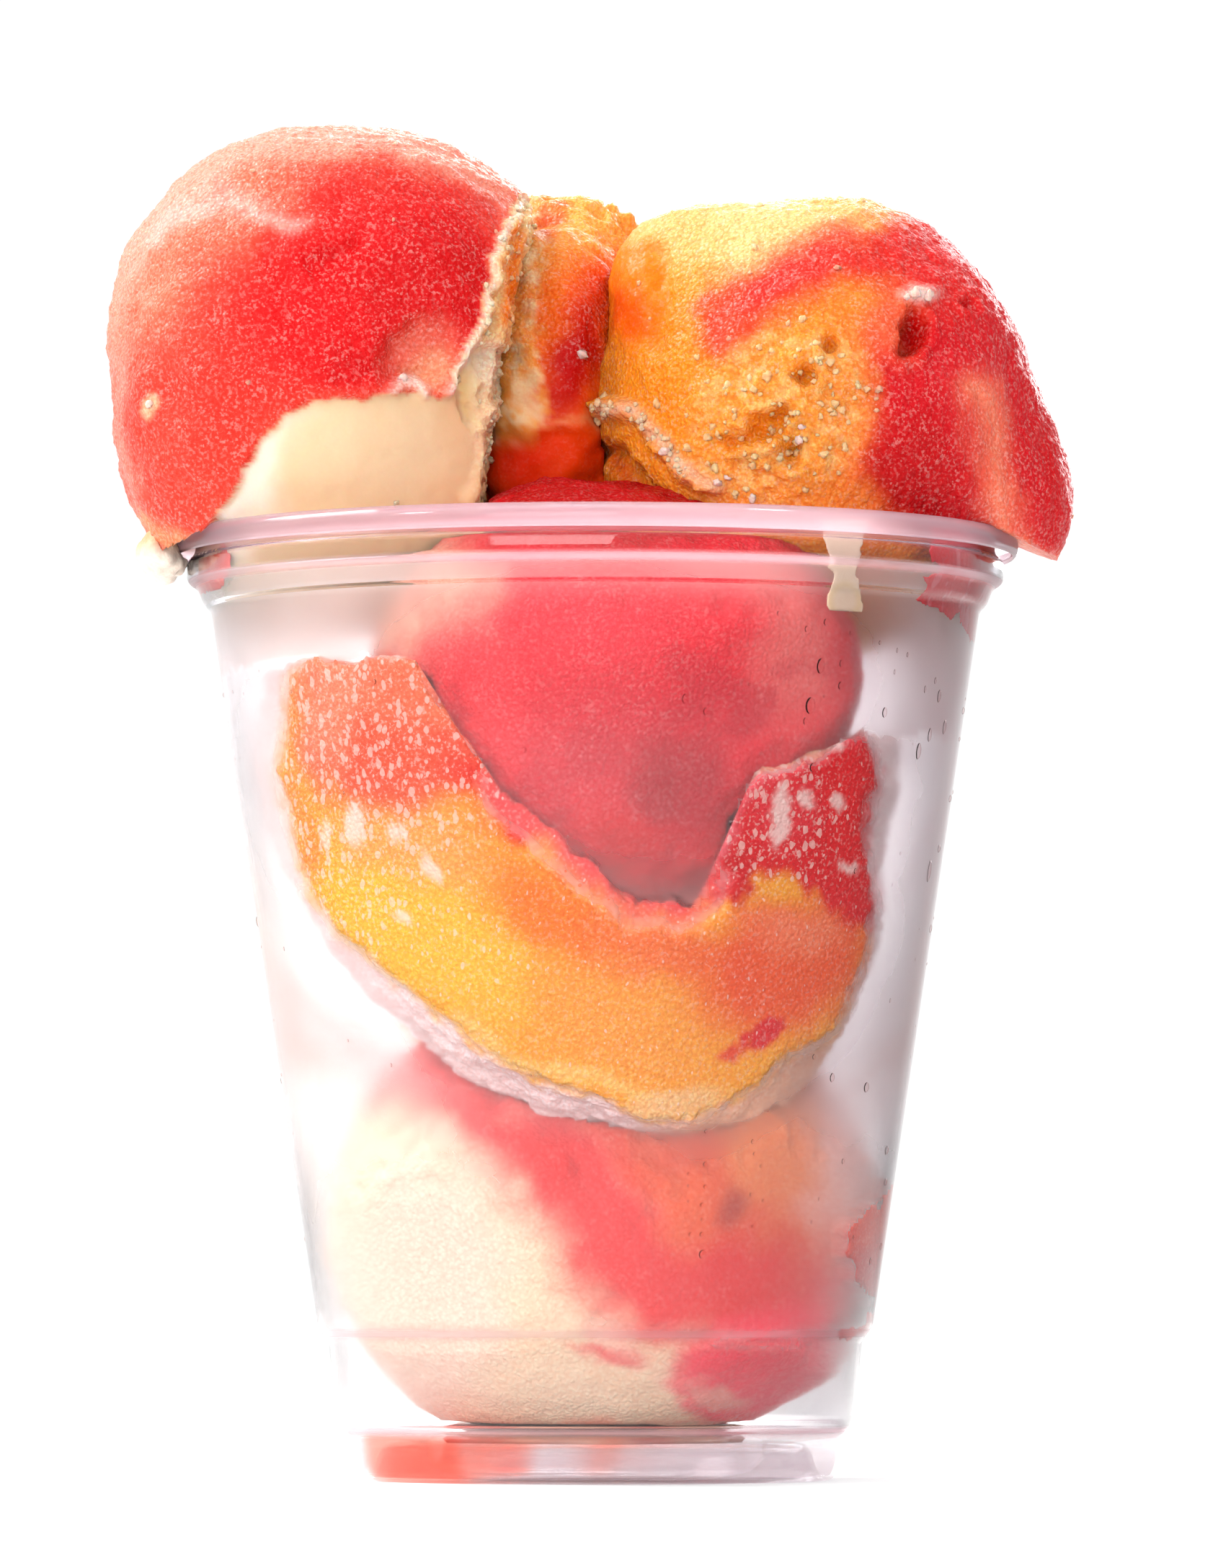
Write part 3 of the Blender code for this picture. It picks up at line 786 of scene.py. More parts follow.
def middle_relief(points):
    """Relief of the middle scoop along its rays; it swells to fill its pressed outline."""
    near, _ = grains(points, 0.9, 45)
    swell = 1.6 * smooth(outline(seen(points), PRESSED), 2.0, -1.0) * smooth(points[:, 1], -4.0, -10.0)
    swell += 1.1 * rough(points, 2.4, 925) * smooth(points[:, 2], 87.0, 92.0)
    return swell + 0.5 * rough(points, 5.0, 910) + 0.3 * rough(points, 1.6, 920) + 0.2 * (0.5 - near)


def middle_colour(points):
    """Colours of the middle scoop."""
    flat = warped(points, 1.3, 4.5, 1001)
    fine = warped(points, 0.7, 1.8, 1051)
    colour = np.tile(tone(254, 182, 68), (len(points), 1))
    colour = lay_blobs(colour, flat, (
        ((-20.0, 64.0), (15.0, 7.5), -36.0, (254, 208, 74), 4.0, 0.95),
        ((-22.0, 74.0), (10.0, 4.5), -14.0, (251, 186, 112), 3.0, 0.8),
        ((-24.5, 88.5), (12.5, 10.5), -18.0, (250, 142, 108), 2.6, 1.0),
        ((-24.0, 83.0), (7.0, 4.5), -18.0, (246, 104, 74), 2.6, 0.7),
        ((-30.5, 89.0), (4.0, 6.0), -6.0, (252, 168, 136), 2.0, 0.7),
        ((-12.5, 80.6), (6.5, 3.6), -38.0, (244, 64, 50), 2.2, 0.95),
        ((-8.6, 76.6), (3.4, 1.9), -38.0, (240, 30, 30), 1.6, 0.9),
    ))
    left_edge = ((-35.5, 92.0), (-35.5, 80.0), (-33.0, 71.0))
    colour = lay(colour, band(flat, left_edge, 1.4), tone(251, 164, 74), 1.8, 0.85)
    colour = lay_blobs(colour, flat, (
        ((-4.0, 65.5), (8.0, 4.5), -38.0, (253, 140, 40), 3.0, 0.85),
        ((8.0, 61.5), (8.0, 4.0), -10.0, (249, 126, 76), 3.0, 0.8),
        ((3.0, 53.0), (11.0, 6.0), -20.0, (253, 176, 78), 3.0, 0.8),
        ((22.0, 59.0), (11.0, 7.0), 20.0, (246, 106, 58), 3.4, 0.95),
        ((23.5, 63.4), (4.6, 2.6), -8.0, (252, 150, 112), 2.0, 0.85),
    ))
    colour = lay(colour, outline(fine, CRIMSON_ARM), tone(232, 14, 38), 1.2)
    colour = lay_blobs(colour, fine, (
        ((15.6, 69.6), (2.6, 3.4), -12.0, (222, 6, 32), 1.0, 0.9),
        ((22.0, 77.5), (4.5, 4.0), 30.0, (240, 84, 96), 2.2, 0.55),
        ((29.0, 78.0), (2.4, 6.0), 0.0, (240, 40, 50), 1.3, 0.6),
        ((19.4, 51.5), (2.6, 1.6), 28.0, (232, 44, 52), 0.5, 1.0),
        ((15.8, 49.0), (1.8, 1.0), 28.0, (236, 62, 60), 0.5, 0.8),
    ))
    low_edge = ((-16.0, 52.8), (-8.0, 48.2), (2.0, 45.4), (8.0, 43.9))
    colour = lay(colour, band(flat, low_edge, 0.8), tone(253, 218, 140), 1.4, 0.8)
    colour = lay(colour, blob(fine, (9.0, 43.2), (6.0, 1.8), 8.0), tone(250, 206, 150), 0.9, 0.9)
    froth = 0.55 + 0.45 * smooth(rough(points, 1.1, 1080), -0.1, 0.3)
    froth *= smooth(band(fine, FROTH, 1.4), 1.0, -1.0)
    colour = mixed(colour, tone(250, 132, 142), froth)
    pale = smooth(outline(fine, PRESSED), 0.2, 1.8) * smooth(points[:, 1], 0.0, -8.0)
    warm = (smooth(flat[:, 0], 2.0, 14.0) * smooth(flat[:, 0], 31.0, 27.0))[:, None]
    rim_tint = tone(255, 230, 230) * (1.0 - warm) + tone(251, 196, 164) * warm
    colour = mixed(colour, rim_tint, pale)
    inner = smooth(band(flat, INNER_EDGE, 1.2), 2.4, -1.0)[:, None]
    return colour * (1.0 - inner) + tone(238, 62, 66) * inner


FEWEST_BUBBLES = 0.3
BUBBLY = (
    ((-28.0, 80.0), (9.0, 18.0), 6.0, (5.0, -3.0), 1.0),
    ((-19.0, 84.0), (10.0, 12.0), 0.0, (4.0, -3.0), 0.8),
    ((21.5, 76.5), (7.5, 8.0), 0.0, (3.5, -2.0), 0.9),
    ((-17.0, 64.0), (12.0, 5.0), -38.0, (4.0, -2.0), 0.6),
)


def middle_bubbles(points):
    """How thickly small trapped bubbles lie in the middle scoop's pressed face."""
    flat = seen(points)
    result = np.full(len(points), FEWEST_BUBBLES)
    for middle, half, turn, fade, share in BUBBLY:
        result = np.maximum(result, share * smooth(blob(flat, middle, half, turn), *fade))
    return result


def middle_airy(points):
    """Larger air patches behind the wall."""
    fine = warped(points, 0.5, 1.3, 1071)
    places = (
        ((-27.8, 75.6), (1.2, 2.5), 0.0),
        ((-22.9, 75.0), (1.2, 1.1), 20.0),
        ((-18.9, 70.6), (0.8, 2.0), 24.0),
        ((-22.0, 65.0), (0.8, 1.1), 20.0),
        ((-31.2, 74.6), (0.6, 1.3), 8.0),
        ((21.4, 76.6), (0.9, 3.6), -6.0),
        ((27.8, 85.0), (1.0, 0.6), 20.0),
        ((29.4, 71.0), (1.3, 0.5), 0.0),
        ((24.6, 78.5), (0.7, 1.1), 30.0),
        ((27.9, 78.3), (0.9, 0.9), 0.0),
    )
    result = np.zeros(len(points))
    for place in places:
        result = np.maximum(result, smooth(blob(fine, *place), 0.25, -0.25))
    return result


# Lower scoop: cream at the left, a red band across, orange at the right, crimson low

RED_BAND = (
    (-24.0, 51.0), (-12.0, 44.0), (-3.5, 36.0), (2.0, 28.0), (8.0, 22.5), (18.0, 19.5), (28.0, 19.5),
)
SIDE_PATCH = (
    (35.5, 35.0), (33.5, 34.4), (31.6, 32.4), (29.4, 29.9), (28.1, 28.1), (27.8, 26.8),
    (28.6, 25.6), (29.4, 24.9), (29.0, 23.4), (30.3, 22.3), (31.1, 20.4), (31.6, 18.4),
    (34.0, 18.0), (36.0, 26.0),
)
LOW_BITS = (
    ((15.0, 11.5), (9.5, 4.6), 24.0),
    ((1.0, 15.2), (4.2, 2.0), -20.0),
    ((12.0, 8.2), (5.0, 1.6), -8.0),
)


def lower_off(points):
    """How far the lower scoop stands off the wall."""
    fine = warped(points, 0.6, 1.6, 1131)
    near = smooth(outline(fine, SIDE_PATCH), 0.5, -0.1)
    for place in LOW_BITS:
        near = np.maximum(near, 0.8 * smooth(blob(fine, *place), 0.8, -0.6))
    return np.where(points[:, 1] < 0.0, LOWER_STAND_OFF * (1.0 - near), 0.9)


def lower_relief(points):
    """Relief of the lower scoop along its rays; it reaches out to its side patch."""
    near, _ = grains(points, 0.9, 55)
    reach = 3.0 * smooth(outline(seen(points), SIDE_PATCH), 2.5, -1.0) * smooth(points[:, 1], 2.0, -6.0)
    uneven = 0.6 * rough(points, 5.0, 1110) + 0.3 * rough(points, 1.7, 1120) + 0.2 * (0.5 - near)
    return reach + uneven * (0.25 + 0.75 * smooth(points[:, 2], 15.0, 24.0))


def lower_colour(points):
    """Colours of the lower scoop."""
    flat = warped(points, 1.8, 6.0, 1201)
    fine = warped(points, 0.7, 2.0, 1251)
    colour = np.tile(tone(249, 222, 192), (len(points), 1))
    right = smooth((flat[:, 0] - 3.0) + (flat[:, 1] - 34.0) * 0.75, -3.0, 4.0)
    colour = mixed(colour, tone(238, 96, 46), right)
    colour = lay(colour, blob(flat, (22.0, 38.0), (8.0, 8.0)), tone(244, 150, 92), 4.0, 0.85)
    colour = lay(colour, band(flat, RED_BAND, 6.2), tone(238, 10, 32), 4.0, 0.97)
    colour = lay_blobs(colour, flat, (
        ((-9.5, 43.2), (2.4, 2.0), 0.0, (247, 120, 110), 1.6, 0.7),
        ((10.0, 30.5), (3.0, 4.5), 0.0, (244, 118, 60), 2.0, 0.7),
        ((16.5, 31.0), (2.2, 2.0), 0.0, (176, 50, 40), 1.6, 0.7),
        ((29.0, 40.0), (5.0, 11.0), 0.0, (248, 196, 190), 3.0, 0.85),
    ))
    colour = lay_blobs(colour, fine, (
        ((18.5, 13.0), (11.0, 6.2), 26.0, (255, 52, 88), 1.6, 0.97),
        ((2.0, 14.6), (4.0, 1.2), -14.0, (240, 60, 74), 0.8, 0.8),
        ((1.6, 17.2), (2.8, 1.6), -30.0, (251, 206, 186), 0.8, 0.9),
        ((5.6, 9.8), (7.2, 1.9), -28.0, (250, 220, 188), 0.8, 0.92),
        ((14.0, 9.4), (3.6, 1.4), -20.0, (248, 176, 160), 0.8, 0.85),
        ((12.0, 16.4), (9.0, 1.0), -6.0, (246, 130, 128), 0.9, 0.7),
    ))
    colour = lay_blobs(colour, flat, (
        ((-20.0, 22.0), (10.0, 16.0), 0.0, (250, 222, 206), 4.0, 0.8),
        ((-2.0, 5.0), (10.0, 1.6), 0.0, (246, 140, 116), 1.4, 0.7),
    ))
    patch = smooth(outline(fine, SIDE_PATCH), 0.8, -0.4)
    low = smooth(flat[:, 1], 29.0, 23.0)
    side = tone(240, 74, 8) * (1.0 - low[:, None]) + tone(216, 4, 12) * low[:, None]
    return mixed(colour, side, patch)


# Materials

ICE_IOR = 1.31
PLASTIC_IOR = 1.42
PLASTIC_SHINE = 0.22
TINT_DEPTH = 1.22
FROST_TINT = tone(255, 226, 216)
FROST_SHARE = 0.48
GLOW_REACH = 2.2


class Net:
    """The nodes of one material or world, with short ways to add them and join them."""

    def __init__(self, tree):
        self.nodes = tree.nodes
        self.links = tree.links

    def give(self, socket, value):
        """Give an input another socket to read, or a number, a vector or a colour."""
        if isinstance(value, bpy.types.NodeSocket):
            self.links.new(value, socket)
        elif socket.type == "RGBA":
            socket.default_value = (*value, 1.0)
        else:
            socket.default_value = value

    def add(self, kind, inputs=None, **settings):
        """A new node of a kind, with its settings, and its inputs by name or number."""
        node = self.nodes.new("ShaderNode" + kind)
        for name, value in settings.items():
            setattr(node, name, value)
        for name, value in (inputs or {}).items():
            self.give(node.inputs[name], value)
        return node

    def place(self):
        """Object coordinates, for the patterns."""
        return self.add("TexCoord").outputs["Object"]

    def noise_node(self, place, size_mm, detail):
        """A noise texture whose lumps measure about size_mm."""
        return self.add("TexNoise", {"Scale": 1.0 / (size_mm * MM), "Detail": detail, "Vector": place})

    def noise(self, place, size_mm, detail=3.0):
        """Noise whose lumps measure about size_mm."""
        return self.noise_node(place, size_mm, detail).outputs["Fac"]

    def cells(self, place, size_mm):
        """A cell texture whose cells measure about size_mm."""
        return self.add("TexVoronoi", {"Scale": 1.0 / (size_mm * MM), "Vector": place}, feature="F1")

    def ramp(self, source, low, high, start=0.0, end=1.0):
        """Maps low..high of the source to start..end, eased and clamped."""
        inputs = {"From Min": low, "From Max": high, "To Min": start, "To Max": end, "Value": source}
        return self.add("MapRange", inputs, interpolation_type="SMOOTHSTEP").outputs["Result"]

    def maths(self, operation, *values):
        """A Math node; each value is a socket or a number."""
        return self.add("Math", dict(enumerate(values)), operation=operation).outputs["Value"]

    def times(self, first, second):
        """The product of two values."""
        return self.maths("MULTIPLY", first, second)

    def larger(self, first, second):
        """The larger of two values."""
        return self.maths("MAXIMUM", first, second)

    def vector(self, operation, *values):
        """A Vector Math node; each value is a socket or three numbers."""
        return self.add("VectorMath", dict(enumerate(values)), operation=operation).outputs["Vector"]

    def blended(self, factor, first, second, blend="MIX"):
        """A colour mix; first and second are sockets or linear colours."""
        inputs = {"Factor": factor, 6: first, 7: second}
        return self.add("Mix", inputs, data_type="RGBA", blend_type=blend).outputs[2]

    def attribute(self, name, output="Fac"):
        """A mesh attribute."""
        return self.add("Attribute", attribute_name=name).outputs[output]

    def red(self, texture):
        """The red share of a texture's colour, which is a random number for each cell."""
        return self.add("SeparateColor", {"Color": texture.outputs["Color"]}).outputs["Red"]

    def side_on(self, low, high):
        """0 where the surface is seen straight on and 1 where it is seen from the side."""
        return self.ramp(self.add("LayerWeight", {"Blend": 0.5}).outputs["Facing"], low, high)

    def shader(self, kind, inputs):
        """A surface shader."""
        return self.add("Bsdf" + kind, inputs).outputs["BSDF"]

    def mix(self, factor, first, second):
        """A mix of two surface shaders."""
        return self.add("MixShader", {"Fac": factor, 1: first, 2: second}).outputs["Shader"]


def fresh(name):
    """An empty node material, its net, and the input for its surface."""
    material = bpy.data.materials.new(name)
    material.use_nodes = True
    net = Net(material.node_tree)
    net.nodes.clear()
    return material, net, net.add("OutputMaterial").inputs["Surface"]


def ice_material(name, frost_and_glints, glow):
    """Water ice: tinted from the mesh, with crystals, sparkle from tilted crystal faces and painted
    glints; glow is its share of light inside.
    """
    material, net, surface = fresh(name)
    place = net.place()
    tint = net.attribute("tint", "Color")
    grain = net.attribute("grain")
    bubbles = net.attribute("bubbles")
    wobble = net.noise_node(place, 0.9, 0.0).outputs["Color"]
    bent = net.vector("MULTIPLY_ADD", wobble, (0.5 * MM, 0.5 * MM, 0.5 * MM), place)
    crystal = net.cells(bent, 0.5).outputs["Distance"]
    fleck = net.cells(bent, 0.36)
    mottle = net.noise(place, 0.42)
    # Painted shade between the crystals, with darker random mottling
    gap_shade_and_mottle = net.larger(net.ramp(mottle, 0.52, 0.36, 0.0, 0.75), net.ramp(crystal, 0.38, 0.66, 0.0, 0.5))
    shaded_tint = net.blended(1.0, tint, (0.92, 0.58, 0.52), "MULTIPLY")
    rosy = net.blended(FROST_SHARE, tint, FROST_TINT)
    tint = net.blended(net.times(gap_shade_and_mottle, grain), tint, shaded_tint)
    # Paler frost crystals, thicker in some places than in others, and painted glints on single crystals
    cloudy = net.ramp(net.noise(place, 2.6, 1.0), 0.38, 0.68, 0.40, 1.0)
    pale = net.times(net.times(net.ramp(mottle, 0.50, 0.66, 0.0, frost_and_glints), cloudy), grain)
    painted_glints = net.ramp(net.red(fleck), 0.86, 0.96, 0.0, frost_and_glints)
    painted_glints = net.times(net.times(painted_glints, net.ramp(fleck.outputs["Distance"], 0.46, 0.22)), grain)
    tint = net.blended(net.larger(pale, painted_glints), tint, rosy)
    # Bubbles and air patches of the pressed faces
    holes = net.cells(net.vector("MULTIPLY", bent, (1.0, 1.0, 0.62)), 0.80)
    reach = net.times(net.ramp(net.red(holes), 0.10, 1.0, 0.02, 0.56), bubbles)
    inside = net.maths("SUBTRACT", reach, holes.outputs["Distance"])
    worms = net.times(net.ramp(mottle, 0.55, 0.64, 0.0, 0.5), bubbles)
    inside = net.larger(net.ramp(inside, -0.04, 0.04, 0.0, 0.80), worms)
    tint = net.blended(inside, tint, net.blended(0.62, tint, tone(255, 224, 214)))
    airy_patch = net.blended(0.72, tint, tone(255, 234, 226))
    tint = net.blended(net.times(net.attribute("airy"), 0.90), tint, airy_patch)
    height = {"Distance": 0.30 * MM, "Strength": 0.7, "Height": net.times(crystal, grain)}
    normal = net.add("Bump", height, invert=True).outputs["Normal"]
    # Crystal faces that catch the lamps
    facet = net.vector("SUBTRACT", fleck.outputs["Color"], (0.5, 0.5, 0.5))
    tilt = net.vector("MULTIPLY_ADD", facet, (0.9, 0.9, 0.9), normal)
    looks = {
        "Base Color": tint,
        "Roughness": net.ramp(mottle, 0.40, 0.60, 0.62, 0.36),
        "IOR": ICE_IOR,
        "Specular IOR Level": 0.30,
        "Subsurface Weight": glow,
        "Subsurface Radius": (1.0, 0.30, 0.14),
        "Subsurface Scale": GLOW_REACH * MM,
        "Normal": normal,
        "Coat Weight": net.times(grain, 0.26),
        "Coat Roughness": 0.12,
        "Coat IOR": ICE_IOR,
        "Coat Normal": net.vector("NORMALIZE", tilt),
    }
    net.give(surface, net.shader("Principled", looks))
    return material


def shadow_clear(net, shader, tint):
    """Lets shadow rays through a clear sheet, as the real one lets light through."""
    clear = net.shader("Transparent", {"Color": tint})
    return net.mix(net.add("LightPath").outputs["Is Shadow Ray"], shader, clear)


def sheet_shader(net, place, tint, roughness):
    """Thin clear plastic, with a faint waviness."""
    wave = {"Distance": 0.05 * MM, "Strength": 0.35, "Height": net.noise(place, 6.0, 2.0)}
    looks = {
        "Base Color": tint,
        "Transmission Weight": 1.0,
        "IOR": PLASTIC_IOR,
        "Specular IOR Level": PLASTIC_SHINE,
        "Roughness": roughness,
        "Normal": net.add("Bump", wave).outputs["Normal"],
    }
    return net.shader("Principled", looks)


def clear_material():
    """Clear plastic of the cup's outer face, lip and foot."""
    material, net, surface = fresh("clear_plastic_bright")
    place = net.place()
    blush = net.attribute("blush")
    # Painted shade: greyer on the right of the cup, and grey where the sheet is seen edge-on, lighter at
    # the foot and the lip
    plain = net.blended(net.attribute("shade"), (0.955, 0.955, 0.96), (0.74, 0.72, 0.735))
    # Painted reflection of the ice: pink on the foot
    plain = net.blended(blush, plain, (1.0, 0.56, 0.48))
    edge_on_shade = net.blended(net.attribute("light"), (0.58, 0.56, 0.60), (0.72, 0.70, 0.74))
    roughness = net.ramp(net.noise(place, 9.0, 2.0), 0.3, 0.8, 0.02, 0.10)
    sheet = sheet_shader(net, place, net.blended(net.side_on(0.40, 0.92), plain, edge_on_shade), roughness)
    haze = net.shader("Translucent", {"Color": (0.95, 0.74, 0.81)})
    hazy = net.mix(net.attribute("milky"), sheet, haze)
    # The foot's doubled sheets let light straight through, tinted by the painted reflection of the ice
    through_tint = net.blended(blush, (0.965, 0.96, 0.968), (1.0, 0.60, 0.52))
    through = net.shader("Transparent", {"Color": through_tint})
    footed = net.mix(net.times(net.attribute("foot"), 0.68), hazy, through)
    net.give(surface, shadow_clear(net, footed, (0.94, 0.94, 0.95)))
    return material


def misted_material():
    """The cup's inner face: misted where the ice stands off, clear and wet where it touches."""
    material, net, surface = fresh("misted_plastic")
    place = net.place()
    gap = net.attribute("gap")
    shade = net.attribute("shade")
    ragged = net.times(net.maths("SUBTRACT", net.noise(place, 1.1, 4.0), 0.5), 0.8)
    away = net.times(net.ramp(net.maths("ADD", gap, ragged), 0.05, 0.25), net.attribute("mist"))
    # Wet beads in the mist, close to the ice
    beads = net.cells(place, 0.8)
    open_spot = net.ramp(beads.outputs["Distance"], 0.22, 0.34)
    chosen = net.times(net.ramp(net.red(beads), 0.88, 0.94), net.ramp(gap, 2.0, 0.4))
    away = net.times(away, net.larger(open_spot, net.maths("SUBTRACT", 1.0, chosen)))
    roughness = net.maths("MULTIPLY_ADD", away, net.ramp(gap, 0.5, 9.0, 0.20, 0.42), 0.03)
    # Painted shade: the sheet is greyer on the right of the cup
    sheet_tint = net.blended(shade, (0.985, 0.985, 0.99), (0.78, 0.75, 0.77))
    sheet = sheet_shader(net, place, sheet_tint, roughness)
    patchy = net.ramp(net.noise(place, 11.0, 2.0), 0.3, 0.7, 0.80, 1.0)
    depth = net.ramp(gap, 1.0, 13.0, 0.09, 0.93)
    # A paler line of frost beside the places where the ice touches
    fringe = net.times(net.ramp(gap, 0.1, 0.4), net.ramp(gap, 1.2, 0.7))
    fringe = net.times(fringe, net.ramp(net.noise(place, 2.4, 2.0), 0.3, 0.7, 0.2, 0.55))
    cover = net.times(net.times(away, net.larger(depth, fringe)), patchy)
    # Painted shade: the mist is greyer on the right of the cup and where it is seen edge-on
    plain = net.blended(shade, (0.95, 0.955, 0.97), (0.60, 0.51, 0.545))
    milk_tint = net.blended(net.side_on(0.45, 0.95), plain, (0.72, 0.68, 0.72))
    milk = net.shader("Translucent", {"Color": milk_tint})
    bloom = net.shader("Diffuse", {"Color": (0.95, 0.945, 0.955)})
    misted = net.mix(cover, sheet, net.mix(0.25, milk, bloom))
    net.give(surface, shadow_clear(net, misted, (0.95, 0.95, 0.955)))
    return material


def drop_material():
    """Water drops on the plastic, with a painted pink reflection of the ice, darker at their rims."""
    material, net, surface = fresh("water_drops")
    warm = net.ramp(net.noise(net.place(), 12.0, 1.0), 0.35, 0.65)
    # Painted reflection of the ice: pink, darker toward each drop's rim
    rim_tint = net.blended(warm, (0.98, 0.76, 0.74), (1.0, 0.82, 0.79))
    body_tint = net.blended(net.side_on(0.25, 0.85), (1.0, 0.97, 0.97), rim_tint)
    body = net.shader("Transparent", {"Color": body_tint})
    gloss = net.shader("Glossy", {"Roughness": 0.05})
    net.give(surface, net.mix(net.add("Fresnel", {"IOR": 1.13}).outputs["Fac"], body, gloss))
    return material


def give_values(made, **values):
    """Store per-vertex values on the mesh for the materials: colours as tint, the rest as numbers."""
    for name, value in values.items():
        value = np.asarray(value)
        if value.ndim == 2:
            layer = made.data.attributes.new(name, "FLOAT_COLOR", "POINT")
            full = np.ones((len(value), 4), np.float32)
            full[:, :3] = np.clip(value, 0.0, 1.0) ** TINT_DEPTH
            layer.data.foreach_set("color", full.ravel())
        else:
            layer = made.data.attributes.new(name, "FLOAT", "POINT")
            layer.data.foreach_set("value", value.astype(np.float32))


def finish_piece(made, node, material):
    """A piece that stands for a node of the frame, or that lies on it when node is empty."""
    made.data.materials.append(material)
    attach(made, "root")
    if node:
        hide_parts(node)


# The scoops

frosty = ice_material("frosty_ice", 0.46, 0.40)
pressed = ice_material("pressed_ice", 0.24, 0.0)


def left_grain(points):
    """How frosty the left scoop is: the cream face is smooth."""
    fine = warped(points, *LEFT_FINE)
    smooth_face = smooth(outline(fine, CREAM_FACE), 0.3, -0.3) * smooth(points[:, 0], -11.0, -15.0)
    return 1.0 - 0.95 * smooth_face * in_front(points)


left, left_points = shaped("ice_left", LEFT, TOP_SQUARES, left_relief, (off_sheet,))
give_values(left, tint=left_colour(left_points), grain=left_grain(left_points))
finish_piece(left, "scoop_left", frosty)

right, right_points = shaped("ice_right", RIGHT, TOP_SQUARES, right_relief, (off_sheet,))
amber_lobe = smooth(blob(seen(right_points), *AMBER_LOBE), 2.0, -2.0) * in_front(right_points)
give_values(right, tint=right_colour(right_points), grain=1.0 - 0.75 * amber_lobe)
finish_piece(right, "scoop_right", frosty)

back_limits = (off_sheet, off_scoops(LEFT, bite=DEEP_TOUCH), off_scoops(RIGHT))
back, back_points = shaped("ice_back", BACK, BACK_SQUARES, back_relief, back_limits)
back_grain = 0.15 + 0.85 * smooth(back_points[:, 2], 122.0, 132.0)
give_values(back, tint=back_colour(back_points), grain=back_grain)
finish_piece(back, "scoop_back", frosty)


VALLEY_OVERLAP = 0.9


def valley_line(points):
    """How far points lie over the ragged line between the upper and the middle scoop."""
    over = above_valley(points)
    close = np.abs(over) < 3.0
    over[close] += 0.9 * rough(points[close], 2.2, 970)
    return over


def upper_off(points):
    """How far the upper scoop stands off the wall: less beside the middle scoop."""
    return UPPER_STAND_OFF - 1.4 * smooth(above_valley(points), 6.0, 0.5)


upper_limits = (
    in_room(upper_off),
    off_scoops(LEFT, RIGHT, BACK),
    lambda points: -valley_line(points) / 2.0 - VALLEY_OVERLAP,
)
upper, upper_points = shaped("ice_upper", UPPER, UPPER_SQUARES, upper_relief, upper_limits)
give_values(upper, tint=upper_colour(upper_points), grain=np.full(len(upper_points), 0.8))
finish_piece(upper, "scoop_upper", pressed)

middle_limits = (
    in_room(pressed_off),
    off_scoops(LEFT, RIGHT, BACK),
    lambda points: valley_line(points) / 2.0 - 0.2,
)
middle, middle_points = shaped(
    "ice_middle", MIDDLE, MIDDLE_SQUARES, middle_relief, middle_limits, MIDDLE_STAR
)
middle_front = smooth(middle_points[:, 1], 0.0, -6.0)
give_values(
    middle,
    tint=middle_colour(middle_points),
    grain=np.full(len(middle_points), 0.8),
    bubbles=middle_bubbles(middle_points) * middle_front,
    airy=middle_airy(middle_points) * middle_front,
)
finish_piece(middle, "scoop_middle", pressed)

lower, lower_points = shaped(
    "ice_lower", LOWER, LOWER_SQUARES, lower_relief, (in_room(lower_off), off_scoops(MIDDLE))
)
give_values(lower, tint=lower_colour(lower_points), grain=np.full(len(lower_points), 0.7))
finish_piece(lower, "scoop_lower", pressed)


# Loose crystals on the torn places

CRYSTALS_LEFT = 200
CRYSTALS_RIGHT = 170
CRYSTAL_SEED = 5
NAMED_CRYSTALS = (
    ((8.0, 119.0), 0.9),
    ((14.1, 115.4), 0.9),
    ((15.4, 116.0), 0.6),
    ((18.2, 113.6), 0.8),
    ((37.2, 137.6), 1.0),
    ((38.6, 137.2), 0.9),
    ((36.2, 137.0), 0.7),
    ((23.6, 120.4), 0.8),
    ((24.0, 121.8), 0.7),
    ((-22.3, 127.6), 0.9),
    ((-51.7, 124.5), 0.9),
    ((-1.5, 130.3), 0.85),
)


def crystal_mesh(name, spots, sizes, tints, seed):
    """Many small uneven crystals as one mesh, each centred on its spot."""
    random = np.random.default_rng(seed)
    body = bmesh.new()
    colours = []
    for spot, size, tint in zip(spots, sizes, tints):
        made = bmesh.ops.create_icosphere(body, subdivisions=2, radius=1.0)["verts"]
        stretch = random.uniform(0.7, 1.15, 3) * size / 2.0
        corners = np.array([vertex.co[:] for vertex in made])
        dents = 1.0 + 0.6 * lumps(corners * 1.9 + random.uniform(0, 90, 3), seed)
        for vertex, dent in zip(made, dents):
            vertex.co = (np.array(vertex.co[:]) * stretch * dent + spot) * MM
        colours.extend([tint] * len(made))
    made = as_object(name, body)
    give_values(made, tint=np.array(colours), grain=np.full(len(colours), 0.6))
    return made


def scattered(points, weight, count, seed):
    """Row numbers of points picked by weight."""
    random = np.random.default_rng(seed)
    return random.choice(len(points), size=count, replace=False, p=weight / weight.sum())


def facing_spots(body, places):
    """Where the eye's rays through seen places meet a body, or nothing where they miss it."""
    tree = BVHTree.FromObject(body, bpy.context.evaluated_depsgraph_get())
    eye = Vector((EYE_ACROSS * MM, -EYE_DISTANCE * MM, EYE_HEIGHT * MM))
    hits = [tree.ray_cast(eye, (Vector((u * MM, 0.0, v * MM)) - eye).normalized()) for u, v in places]
    return [None if hit[0] is None else np.array(hit[0]) / MM for hit in hits]


